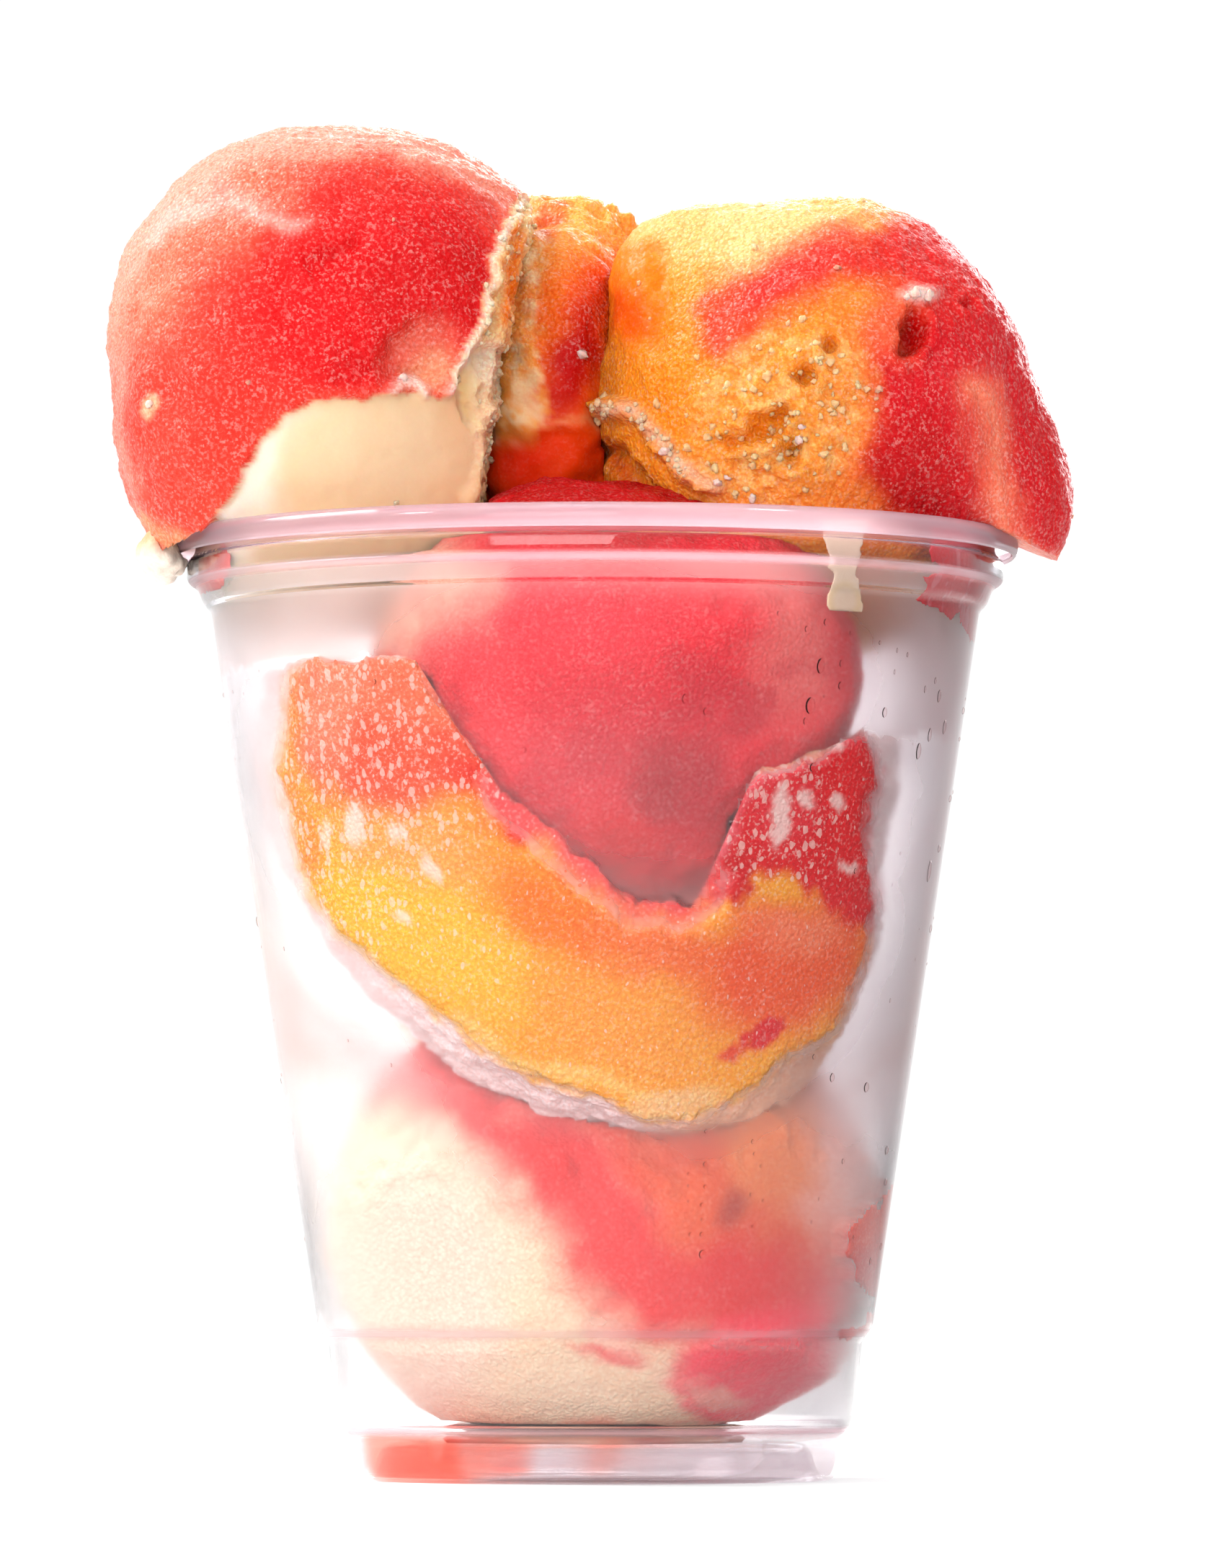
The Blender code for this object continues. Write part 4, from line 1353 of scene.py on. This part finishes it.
def crystals_on(name, placed, points, colour, weight, count, seed):
    """Loose crystals on one scoop: scattered ones and those of the named places that it faces."""
    rows = scattered(points, weight, count, seed)
    spots = list(points[rows])
    random = np.random.default_rng(seed + 1)
    sizes = list(random.uniform(0.45, 1.0, count))
    tints = list(colour[rows] * 0.55 + PALE_CREAM * 0.45)
    for spot, size in placed:
        spots.append(spot)
        sizes.append(size * 1.35)
        tints.append(WHITE_FROST * 0.35 + PALE_PINK * 0.65)
    made = crystal_mesh(name, spots, sizes, tints, seed)
    finish_piece(made, "", frosty)


named_hits = [facing_spots(body, [place for place, _ in NAMED_CRYSTALS]) for body in (left, right, back)]
named = ([], [], [])
for row, (_, crystal_size) in enumerate(NAMED_CRYSTALS):
    met = [(hits[row][1], which) for which, hits in enumerate(named_hits) if hits[row] is not None]
    if met:
        nearest = min(met)[1]
        named[nearest].append((named_hits[nearest][row], crystal_size))

left_fine = warped(left_points, *LEFT_FINE)
left_weight = 3.0 * smooth(band(left_fine, CREST, 0.3), 0.8, 0.0)
left_weight = left_weight + 1.5 * smooth(band(left_fine, TORN_EDGE, 0.3), 0.8, 0.0)
left_weight = left_weight + 0.7 * smooth(outline(left_fine, TORN_ZONE), 0.3, -0.3)
left_weight = left_weight * in_front(left_points) + 0.01
right_fine = warped(right_points, *RIGHT_FINE)
right_weight = 1.2 * right_crags(right_fine) + 3.0 * smooth(band(right_fine, LIP, 0.6), 0.8, 0.0)
right_weight = right_weight * in_front(right_points) + 0.01
crystals_on(
    "crystals_left",
    named[0],
    left_points,
    left_colour(left_points),
    left_weight,
    CRYSTALS_LEFT,
    CRYSTAL_SEED,
)
crystals_on(
    "crystals_right",
    named[1] + named[2],
    right_points,
    right_colour(right_points),
    right_weight,
    CRYSTALS_RIGHT,
    CRYSTAL_SEED + 10,
)


# The cup, turned more finely

def arc(middle, radius, start, end, steps):
    """Points on an arc in the section, by angle in degrees."""
    angles = np.radians(np.linspace(start, end, steps))
    return [(middle[0] + radius * math.cos(a), middle[1] + radius * math.sin(a)) for a in angles]


def straight(first, last, steps):
    """Points from first to last, without the last."""
    return [
        (first[0] + (last[0] - first[0]) * k / steps, first[1] + (last[1] - first[1]) * k / steps)
        for k in range(steps)
    ]


def rounded(points, cut):
    """The section with each corner cut twice, for soft bends."""
    for _ in range(2):
        result = [points[0]]
        for before, corner, after in zip(points, points[1:], points[2:]):
            for other in (before, after):
                length = math.hypot(other[0] - corner[0], other[1] - corner[1])
                step = min(cut, length / 3.0) / length
                result.append(tuple(c + (o - c) * step for c, o in zip(corner, other)))
        points = result + [points[-1]]
        cut /= 2.5
    return points


def cup_section():
    """Outer face of the sheet from the lip's free end to the middle of the floor."""
    lip = arc((CURL_RADIUS, CURL_HEIGHT), CURL_OUTER - SHEET, -50.0, 190.0, 17)
    bends = [lip[-1], NECK, (BAND_RADIUS, BAND_TOP), (BAND_RADIUS, BAND_FOOT), COLLAR]
    bends += [COLLAR_FOOT, WALL_TOP]
    high = rounded(bends + [(WALL_TOP[0] - 0.3, WALL_TOP[1] - 2.0)], 0.35)
    low_start = (WALL_FOOT[0] + 0.3, WALL_FOOT[1] + 2.0)
    foot = [low_start, WALL_FOOT, STEP, BASE_TOP, FOOT_TOP, FOOT_ROUND, FOOT_LOW, (RING_OUTER, 0.0)]
    foot += [(RING_INNER, 0.0), RISER_LOW, RISER_TOP]
    foot += [(FLOOR_RADIUS, FLOOR_UNDERSIDE), (0.0, FLOOR_UNDERSIDE)]
    low = rounded(foot, 0.4)
    return lip[:-1] + high[:-1] + straight(high[-1], low[0], CUP_ROWS) + low


def turned_sheet(name, section, steps):
    """A turned thin sheet as a plain mesh object."""
    mesh = bpy.data.meshes.new(name)
    body = bmesh.new()
    ring = [body.verts.new((radius * MM, 0.0, height * MM)) for radius, height in section]
    for first, second in zip(ring, ring[1:]):
        body.edges.new((first, second))
    body.to_mesh(mesh)
    body.free()
    made = bpy.data.objects.new(name, mesh)
    bpy.context.scene.collection.objects.link(made)
    screw = made.modifiers.new("turn", "SCREW")
    screw.steps = steps
    screw.render_steps = steps
    screw.use_merge_vertices = True
    screw.merge_threshold = 0.00001
    solid = made.modifiers.new("sheet", "SOLIDIFY")
    solid.thickness = SHEET * MM
    solid.offset = -1.0
    solid.use_even_offset = True
    turned = made.evaluated_get(bpy.context.evaluated_depsgraph_get())
    made.data = bpy.data.meshes.new_from_object(turned)
    made.modifiers.clear()
    made.data.name = name
    made.data.shade_smooth()
    return made


def standing_off(points, bodies):
    """Room in millimetres between the wall and the ice, looking inwards from each point."""
    trees = [BVHTree.FromObject(body, bpy.context.evaluated_depsgraph_get()) for body in bodies]
    result = np.full(len(points), 30.0)
    for index, point in enumerate(points):
        radius = math.hypot(point[0], point[1])
        if radius < 1.0:
            continue
        inward = Vector((-point[0] / radius, -point[1] / radius, 0.0))
        start = Vector(point * MM) - inward * MM
        for tree in trees:
            hit = tree.ray_cast(start, inward, 0.03)
            if hit[0] is not None:
                result[index] = min(result[index], hit[3] / MM - 1.0)
    return np.clip(result, 0.0, 30.0)


cup = turned_sheet("cup_sheet", cup_section(), CUP_STEPS)
cup_points = np.empty(len(cup.data.vertices) * 3)
cup.data.vertices.foreach_get("co", cup_points)
cup_points = cup_points.reshape(-1, 3) / MM
cup_radius = np.hypot(cup_points[:, 0], cup_points[:, 1])
on_inside = np.abs(cup_radius - wall_radius(cup_points[:, 2])) < 0.22
gap = np.full(len(cup_points), 30.0)
chosen = np.nonzero(on_inside & (cup_points[:, 2] > 6.0) & (cup_points[:, 2] < 107.0))[0]
gap[chosen] = standing_off(cup_points[chosen], (left, right, back, upper, middle, lower))
mist = smooth(cup_points[:, 2], 7.0, 20.0) * (0.55 + 0.45 * smooth(cup_points[:, 2], 106.0, 99.0))
milky = 0.40 * smooth(cup_points[:, 2], 105.8, 106.6) + 0.26 * smooth(cup_points[:, 2], 6.0, 3.0)
for line_height in (5.8, 16.9, 103.4):
    milky += 0.4 * smooth(np.abs(cup_points[:, 2] - line_height), 0.7, 0.2)
# Painted shade: the wall is greyer on its right, where less light falls, and the foot has a painted pink
# reflection of the ice above it
shade = smooth(cup_points[:, 0], 10.0, 28.0)
cup_turn = np.stack([cup_points[:, 0], cup_points[:, 1], np.zeros(len(cup_points))], axis=1)
# Painted reflection of the ice: a pink tint on the foot
blush = smooth(rough(cup_turn, 16.0, 1310) - np.abs(cup_points[:, 0]) * 0.02, -0.5, 0.1)
blush *= smooth(cup_points[:, 2], 5.8, 4.8)
# The foot and the lip let the most light through, so they get less painted shade and a lighter edge-on
# grey, and the ice rubs the mist away in two places
light = np.maximum(smooth(cup_points[:, 2], 7.0, 5.0), smooth(cup_points[:, 2], 104.0, 106.0))
shade *= 1.0 - 0.7 * light
cup_seen = seen(cup_points)
rubbed = 0.65 * smooth(blob(cup_seen, (-7.0, 42.0), (15.0, 5.5), -32.0), 4.0, -3.0)
rubbed = np.maximum(rubbed, 0.7 * smooth(blob(cup_seen, (-1.0, 96.0), (21.0, 8.0)), 5.0, -3.0))
mist *= 1.0 - rubbed * smooth(cup_points[:, 1], 0.0, -8.0)
# Less painted shade where the ice lies close behind the front wall
covered = smooth(outline(cup_seen, PRESSED), 2.0, -2.0)
covered = np.maximum(covered, smooth(blob(cup_seen, (2.0, 92.0), (27.0, 23.0)), 3.0, -3.0))
covered = np.maximum(covered, smooth(blob(cup_seen, (3.0, 27.0), (29.0, 22.0)), 3.0, -3.0))
shade *= 1.0 - 0.8 * covered * smooth(cup_points[:, 1], 0.0, -8.0)
foot = smooth(cup_points[:, 2], 5.9, 5.2)
give_values(cup, gap=gap, mist=mist, milky=milky, shade=shade, blush=blush, light=light, foot=foot)
cup.data.materials.append(clear_material())
cup.data.materials.append(misted_material())
for face in cup.data.polygons:
    middle_of_face = face.center / MM
    inward = face.normal.x * middle_of_face.x + face.normal.y * middle_of_face.y < 0.0
    inner = all(on_inside[k] for k in face.vertices)
    if inner and inward and 7.0 < middle_of_face.z < 107.0:
        face.material_index = 1
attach(cup, "root")
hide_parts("cup")


# Smears of ice on the inside of the wall

FILM_CELL = 0.22
FILM_SMOOTHING = 5
FILM_THICK = 0.6
COLLAR_SMEAR = (
    (38.4, 111.0), (44.0, 111.0), (48.6, 110.0), (47.4, 104.6), (46.0, 101.7), (44.6, 97.4),
    (43.6, 96.4), (42.2, 98.4), (42.0, 100.4), (40.9, 99.4), (39.6, 100.6), (38.2, 101.0),
    (36.7, 101.7), (38.4, 103.2), (37.6, 104.6), (39.6, 105.4), (38.6, 106.6),
)
SIDE_DRIP = (
    (31.0, 19.4), (32.8, 19.8), (32.4, 17.6), (30.7, 16.9), (28.6, 16.0), (27.7, 16.3),
    (27.8, 17.3), (29.0, 17.6), (30.9, 18.0),
)
CREAM_RUN = (
    (25.6, 111.5), (32.2, 111.5), (30.9, 107.4), (30.3, 104.8), (31.0, 102.6), (31.2, 100.9),
    (30.3, 99.5), (29.0, 98.9), (27.7, 99.2), (26.7, 100.3), (26.5, 102.0), (27.4, 104.2),
    (27.0, 106.6),
)
LEFT_SMEAR = (
    (-49.0, 110.4), (-43.6, 110.2), (-42.0, 106.6), (-43.0, 103.0), (-46.0, 102.2), (-49.0, 103.6),
)


def film(name, line, low, high, colour_of, grain, seed):
    """A thin smear on the inner face of the wall, inside an outline in the seen plane."""
    across = max(abs(u) for u, _ in line)
    radius = float(wall_radius((low + high) / 2.0))
    reach = math.asin(min(1.0, across / radius)) + 0.12
    side = 1.0 if np.mean([u for u, _ in line]) > 0.0 else -1.0
    start = math.asin(max(0.0, min(abs(u) for u, _ in line) / radius - 0.05))
    columns = int((reach - start) * radius / FILM_CELL)
    rows = int((high - low) / FILM_CELL)
    turn, height = np.meshgrid(side * np.linspace(start, reach, columns), np.linspace(low, high, rows))
    turn = turn.ravel()
    height = height.ravel()
    outer_radius = wall_radius(height) + 0.15
    outer = np.stack([outer_radius * np.sin(turn), -outer_radius * np.cos(turn), height], axis=1)
    distance = outline(warped(outer, 0.3, 1.3, seed), line)
    thick = 0.2 + FILM_THICK * smooth(distance, 0.0, -1.4) + 0.12 * rough(outer, 1.2, seed + 9)
    inner_radius = outer_radius - np.maximum(thick, 0.2)
    inner = np.stack([inner_radius * np.sin(turn), -inner_radius * np.cos(turn), height], axis=1)
    inside = distance < 0.0
    body = bmesh.new()
    made = {}
    colours = []

    def corner(index, layer):
        if (index, layer) not in made:
            place = outer[index] if layer == 0 else inner[index]
            made[index, layer] = body.verts.new(place * MM)
            colours.append(place)
        return made[index, layer]

    for row in range(rows - 1):
        for column in range(columns - 1):
            first = row * columns + column
            ring = (first, first + 1, first + columns + 1, first + columns)
            if not all(inside[k] for k in ring):
                continue
            body.faces.new([corner(k, 0) for k in ring])
            body.faces.new([corner(k, 1) for k in reversed(ring)])
    for edge in [edge for edge in body.edges if len(edge.link_faces) == 1]:
        known = {vertex: key for key, vertex in made.items() if vertex in edge.verts}
        keys = list(known.values())
        if keys[0][1] == 1:
            continue
        lower_pair = [made[keys[0][0], 0], made[keys[1][0], 0], made[keys[1][0], 1], made[keys[0][0], 1]]
        body.faces.new(lower_pair)
    every_way = {"use_axis_x": True, "use_axis_y": True, "use_axis_z": True}
    for _ in range(FILM_SMOOTHING):
        bmesh.ops.smooth_vert(body, verts=body.verts[:], factor=0.5, **every_way)
    bmesh.ops.recalc_face_normals(body, faces=body.faces[:])
    smear = as_object(name, body)
    tints = colour_of(np.array(colours))
    give_values(smear, tint=tints, grain=np.full(len(tints), grain))
    finish_piece(smear, "", pressed)


def crimson_tint(points):
    """Crimson with paler runs."""
    pale = 0.65 * smooth(rough(points * np.array([1.0, 1.0, 0.5]), 1.6, 1410), 0.15, 0.5)
    return mixed(tone(232, 28, 56), tone(246, 150, 160), pale)


def drip_tint(points):
    """Deep red."""
    shade = 0.5 * smooth(rough(points, 2.0, 1420), -0.2, 0.6)
    return mixed(tone(206, 10, 30), tone(232, 40, 50), shade)


def cream_tint(points):
    """Cream with a darker ring near its foot."""
    flat = seen(points)
    colour = np.tile(tone(252, 226, 204), (len(points), 1))
    ring = np.abs(np.hypot(flat[:, 0] - 28.8, (flat[:, 1] - 101.7) * 0.9) - 1.7) - 0.3
    return lay(colour, ring, tone(248, 218, 176), 0.5, 0.8)


def blush_tint(points):
    """Soft red."""
    shade = 0.6 * smooth(rough(points, 2.5, 1430), -0.3, 0.5)
    return mixed(tone(240, 110, 104), tone(248, 160, 140), shade)


film("smear_collar", COLLAR_SMEAR, 95.5, 109.2, crimson_tint, 0.35, 1501)
film("smear_side", SIDE_DRIP, 15.5, 20.5, drip_tint, 0.2, 1511)
film("run_cream", CREAM_RUN, 98.0, 109.2, cream_tint, 0.1, 1521)
film("smear_left", LEFT_SMEAR, 101.5, 109.2, blush_tint, 0.2, 1531)


# The left scoop's melting foot over the lip, and juice under the lower scoop

DRIP = {
    "middle": (-49.7, -5.0, 107.0),
    "half": (2.7, 8.0, 3.1),
    "power": 2.0,
    "lump": 0.3,
    "seed": 71,
}
DRIP_SQUARES = 22
POOL_RADIUS = 16.5
POOL_LOW = 4.36
POOL_HIGH = 5.3
POOL_SIDES = 120


def drip_relief(points):
    """Relief of the melting foot."""
    return 0.5 * rough(points, 2.6, 1610)


drip, drip_points = shaped("drip_left", DRIP, DRIP_SQUARES, drip_relief, (off_lip,))
drip_warm = smooth(drip_points[:, 2], 105.5, 108.5)
drip_tints = mixed(tone(253, 240, 226), tone(250, 190, 150), drip_warm)
give_values(drip, tint=drip_tints, grain=np.full(len(drip_points), 0.25))
finish_piece(drip, "", pressed)


def juice_pool():
    """A shallow pool of coloured juice with an uneven rim, on the raised floor."""
    body = bmesh.new()
    turns = np.linspace(0.0, 2.0 * math.pi, POOL_SIDES, endpoint=False)
    rim = np.stack([np.cos(turns), np.sin(turns), np.zeros(POOL_SIDES)], axis=1)
    wide = POOL_RADIUS + 1.6 * rough(rim * 3.0, 1.0, 1620)
    edge_height = (POOL_LOW + POOL_HIGH) / 2.0
    rows = ((0.55, POOL_LOW), (0.97, POOL_LOW), (1.0, edge_height), (0.96, POOL_HIGH), (0.5, POOL_HIGH))
    loops = []
    for share, height in rows:
        places = rim[:, :2] * (wide * share * MM)[:, None]
        loops.append([body.verts.new((x, y, height * MM)) for x, y in places])
    for first, second in zip(loops, loops[1:]):
        for k in range(POOL_SIDES):
            after = (k + 1) % POOL_SIDES
            body.faces.new((first[k], first[after], second[after], second[k]))
    body.faces.new(list(reversed(loops[0])))
    body.faces.new(loops[-1])
    bmesh.ops.recalc_face_normals(body, faces=body.faces[:])
    pool = as_object("juice_pool", body)
    places = np.array([vertex.co[:] for vertex in pool.data.vertices]) / MM
    warm = smooth(rough(places, 9.0, 1630) - places[:, 0] * 0.03, -0.3, 0.4)
    tints = mixed(tone(252, 196, 170), tone(246, 140, 128), warm)
    give_values(pool, tint=tints, grain=np.zeros(len(places)))
    finish_piece(pool, "", pressed)


juice_pool()


# Water drops on the outside of the wall

DROPS = (
    ((26.1, 94.1), 1.05, 1.75),
    ((24.9, 89.5), 1.30, 1.90),
    ((28.5, 94.4), 0.50, 0.80),
    ((28.4, 91.8), 0.65, 0.90),
    ((24.3, 87.7), 0.47, 0.80),
    ((24.5, 98.4), 0.50, 0.70),
    ((29.6, 97.9), 0.35, 0.50),
    ((33.0, 96.8), 0.40, 0.50),
    ((35.0, 95.9), 0.30, 0.60),
    ((36.2, 95.4), 0.40, 0.60),
    ((34.7, 93.4), 0.35, 0.60),
    ((33.5, 88.7), 0.80, 1.20),
    ((39.8, 90.6), 0.80, 1.50),
    ((38.2, 91.4), 0.45, 0.90),
    ((39.4, 92.4), 0.50, 0.80),
    ((40.4, 87.0), 0.80, 1.70),
    ((38.7, 86.1), 0.80, 1.60),
    ((37.4, 84.2), 1.00, 1.90),
    ((38.6, 70.3), 0.90, 2.60),
    ((12.4, 26.0), 0.90, 1.00),
    ((12.3, 28.3), 0.50, 0.55),
    ((11.0, 28.3), 0.40, 0.45),
    ((12.3, 30.0), 0.28, 0.30),
    ((12.3, 31.7), 0.40, 0.45),
    ((10.8, 32.1), 0.30, 0.30),
    ((12.7, 33.8), 0.40, 0.45),
    ((10.8, 33.9), 0.30, 0.30),
    ((10.8, 35.3), 0.35, 0.35),
    ((12.7, 36.4), 0.50, 0.55),
    ((18.2, 39.0), 0.40, 0.55),
    ((18.4, 37.6), 0.35, 0.40),
    ((19.2, 36.2), 0.35, 0.40),
    ((18.0, 32.9), 0.35, 0.45),
    ((19.4, 32.2), 0.30, 0.35),
    ((18.2, 29.2), 0.35, 0.35),
    ((12.8, 40.2), 0.40, 0.45),
)
LOOSE_DROPS = 260
DROP_SEED = 77
DROP_RINGS = 5
DROP_SIDES = 14


def on_wall(across, up):
    """The outer wall's point that the eye sees at a seen place."""
    height = up
    out = wall_radius(np.array([height]))[0] + SHEET
    away = -out * 0.7
    for _ in range(30):
        scale = (EYE_DISTANCE + away) / EYE_DISTANCE
        side = EYE_ACROSS + (across - EYE_ACROSS) * scale
        height = EYE_HEIGHT + (up - EYE_HEIGHT) * scale
        out = wall_radius(np.array([height]))[0] + SHEET
        side = float(np.clip(side, -0.985 * out, 0.985 * out))
        away = -math.sqrt(out * out - side * side)
    return math.atan2(side, -away), height


def add_drop(body, turn, height, width, tall):
    """One flattened drop on the outer wall."""
    out = wall_radius(np.array([height]))[0] + SHEET
    normal = np.array([math.sin(turn), -math.cos(turn), -0.1])
    sideways = np.array([math.cos(turn), math.sin(turn), 0.0])
    upward = np.array([0.15 * math.sin(turn), -0.15 * math.cos(turn), 1.0])
    base = np.array([out * math.sin(turn), -out * math.cos(turn), height]) - 0.06 * normal
    depth = 0.32 * min(width, tall)
    top = body.verts.new((base + normal * depth) * MM)
    foot = body.verts.new((base - normal * 0.1) * MM)
    rings = []
    for ring in range(DROP_RINGS):
        slope = math.pi / 2.0 * (1.0 - ring / DROP_RINGS)
        wide = math.sin(slope)
        rise = depth * math.cos(slope)
        loop = []
        for step in range(DROP_SIDES):
            angle = 2.0 * math.pi * step / DROP_SIDES
            place = base + normal * rise + sideways * (width / 2.0 * wide * math.cos(angle))
            loop.append(body.verts.new((place + upward * (tall / 2.0 * wide * math.sin(angle))) * MM))
        rings.append(loop)
    for lower_ring, upper_ring in zip(rings, rings[1:]):
        for k in range(DROP_SIDES):
            after = (k + 1) % DROP_SIDES
            body.faces.new((lower_ring[k], lower_ring[after], upper_ring[after], upper_ring[k]))
    for k in range(DROP_SIDES):
        after = (k + 1) % DROP_SIDES
        body.faces.new((rings[-1][k], rings[-1][after], top))
        body.faces.new((rings[0][after], rings[0][k], foot))


drop_body = bmesh.new()
for (across, up), width, tall in DROPS:
    turn, height = on_wall(across, up)
    add_drop(drop_body, turn, height, width, tall)
random = np.random.default_rng(DROP_SEED)
placed = 0
while placed < LOOSE_DROPS:
    turn = random.uniform(-math.pi, math.pi)
    height = random.uniform(22.0, 98.0)
    width = 0.25 + 0.75 * random.random() ** 3
    in_view = abs(turn) < 1.25 and not 0.6 < turn < 1.05
    if in_view and (height < 84.0 or random.random() < 0.7):
        if random.random() < 0.93:
            continue
        width = min(width, 0.35)
    add_drop(drop_body, turn, height, width, width * random.uniform(1.0, 1.7))
    placed += 1
bmesh.ops.recalc_face_normals(drop_body, faces=drop_body.faces[:])
finish_piece(as_object("wall_drops", drop_body), "", drop_material())


# Floor, light and camera

FLOOR_HALF = 1.6
FADE_NEAR = 0.12
FADE_FAR = 0.55


def floor_material():
    """A plain pale floor that fades into the backdrop."""
    material, net, surface = fresh("pale_floor")
    place = net.place()
    cloud = net.ramp(net.noise(place, 90.0, 2.0), 0.3, 0.7)
    pale = net.shader("Diffuse", {"Color": net.blended(cloud, (0.93, 0.93, 0.93), (0.96, 0.96, 0.96))})
    length = net.add("VectorMath", {0: place}, operation="LENGTH").outputs["Value"]
    fade = net.ramp(length, FADE_NEAR, FADE_FAR)
    net.give(surface, net.mix(fade, pale, net.shader("Transparent", {})))
    return material


bpy.ops.mesh.primitive_plane_add(size=2.0 * FLOOR_HALF, location=(0.0, 0.0, 0.0))
floor = bpy.context.object
floor.name = "floor"
floor.data.materials.append(floor_material())


def area_light(name, place, aim, size, power, colour=(1.0, 1.0, 1.0)):
    """A soft square light at place, aimed at a point, all in metres and watts."""
    data = bpy.data.lights.new(name, "AREA")
    data.shape = "SQUARE"
    data.size = size
    data.energy = power
    data.color = colour
    lamp = bpy.data.objects.new(name, data)
    lamp.location = place
    lamp.rotation_euler = (Vector(aim) - Vector(place)).to_track_quat("-Z", "Y").to_euler()
    bpy.context.scene.collection.objects.link(lamp)


SUBJECT = (0.0, 0.0, 0.09)
area_light("key", (-0.55, 0.25, 0.75), SUBJECT, 0.35, 7.2, (1.0, 0.98, 0.95))
area_light("back_light", (0.2, 0.8, 0.4), SUBJECT, 0.5, 6.2)
area_light("front_fill", (-0.2, -0.95, 0.35), SUBJECT, 0.6, 4.5)
area_light("sparkle_left", (-0.5, -0.35, 0.6), SUBJECT, 0.10, 1.1)
area_light("sparkle_back", (0.35, -0.1, 0.7), SUBJECT, 0.10, 0.9)

# Soft room light: white behind the cup and greyer on the viewer's side, so that clear edges show
BACK_STRENGTH = 1.04
FRONT_STRENGTH = 0.74
LEFT_GAIN = 1.0
RIGHT_GAIN = 0.60

world = bpy.data.worlds.new("bright_room")
bpy.context.scene.world = world
world.use_nodes = True
room = Net(world.node_tree)
direction = room.add("TexCoord").outputs["Generated"]
split = room.add("SeparateXYZ", {"Vector": direction})
strength = room.ramp(split.outputs["Y"], 0.1, 0.75, FRONT_STRENGTH, BACK_STRENGTH)
left_gain = room.ramp(split.outputs["X"], -0.12, -0.6, 1.0, LEFT_GAIN)
right_gain = room.ramp(split.outputs["X"], 0.12, 0.6, 1.0, RIGHT_GAIN)
sky = room.nodes["Background"]
room.give(sky.inputs["Color"], (1.0, 1.0, 1.0))
room.give(sky.inputs["Strength"], room.times(strength, room.times(left_gain, right_gain)))

camera = bpy.data.objects.new("camera", bpy.data.cameras.new("camera"))
camera.data.lens = LENS
camera.data.sensor_width = SENSOR
camera.data.sensor_fit = "AUTO"
camera.data.clip_end = 20.0
camera.location = (EYE_ACROSS * MM, -EYE_DISTANCE * MM, EYE_HEIGHT * MM)
pitch = math.atan2(AIM_HEIGHT - EYE_HEIGHT, EYE_DISTANCE)
camera.rotation_euler = (math.pi / 2.0 + pitch, 0.0, 0.0)
bpy.context.scene.collection.objects.link(camera)
bpy.context.scene.camera = camera
bpy.context.scene.view_settings.view_transform = "Standard"
bpy.context.scene.view_settings.look = "None"
bpy.context.scene.cycles.max_bounces = 6
bpy.context.scene.cycles.diffuse_bounces = 1
bpy.context.scene.cycles.glossy_bounces = 1
bpy.context.scene.cycles.transmission_bounces = 6
bpy.context.scene.cycles.transparent_max_bounces = 8
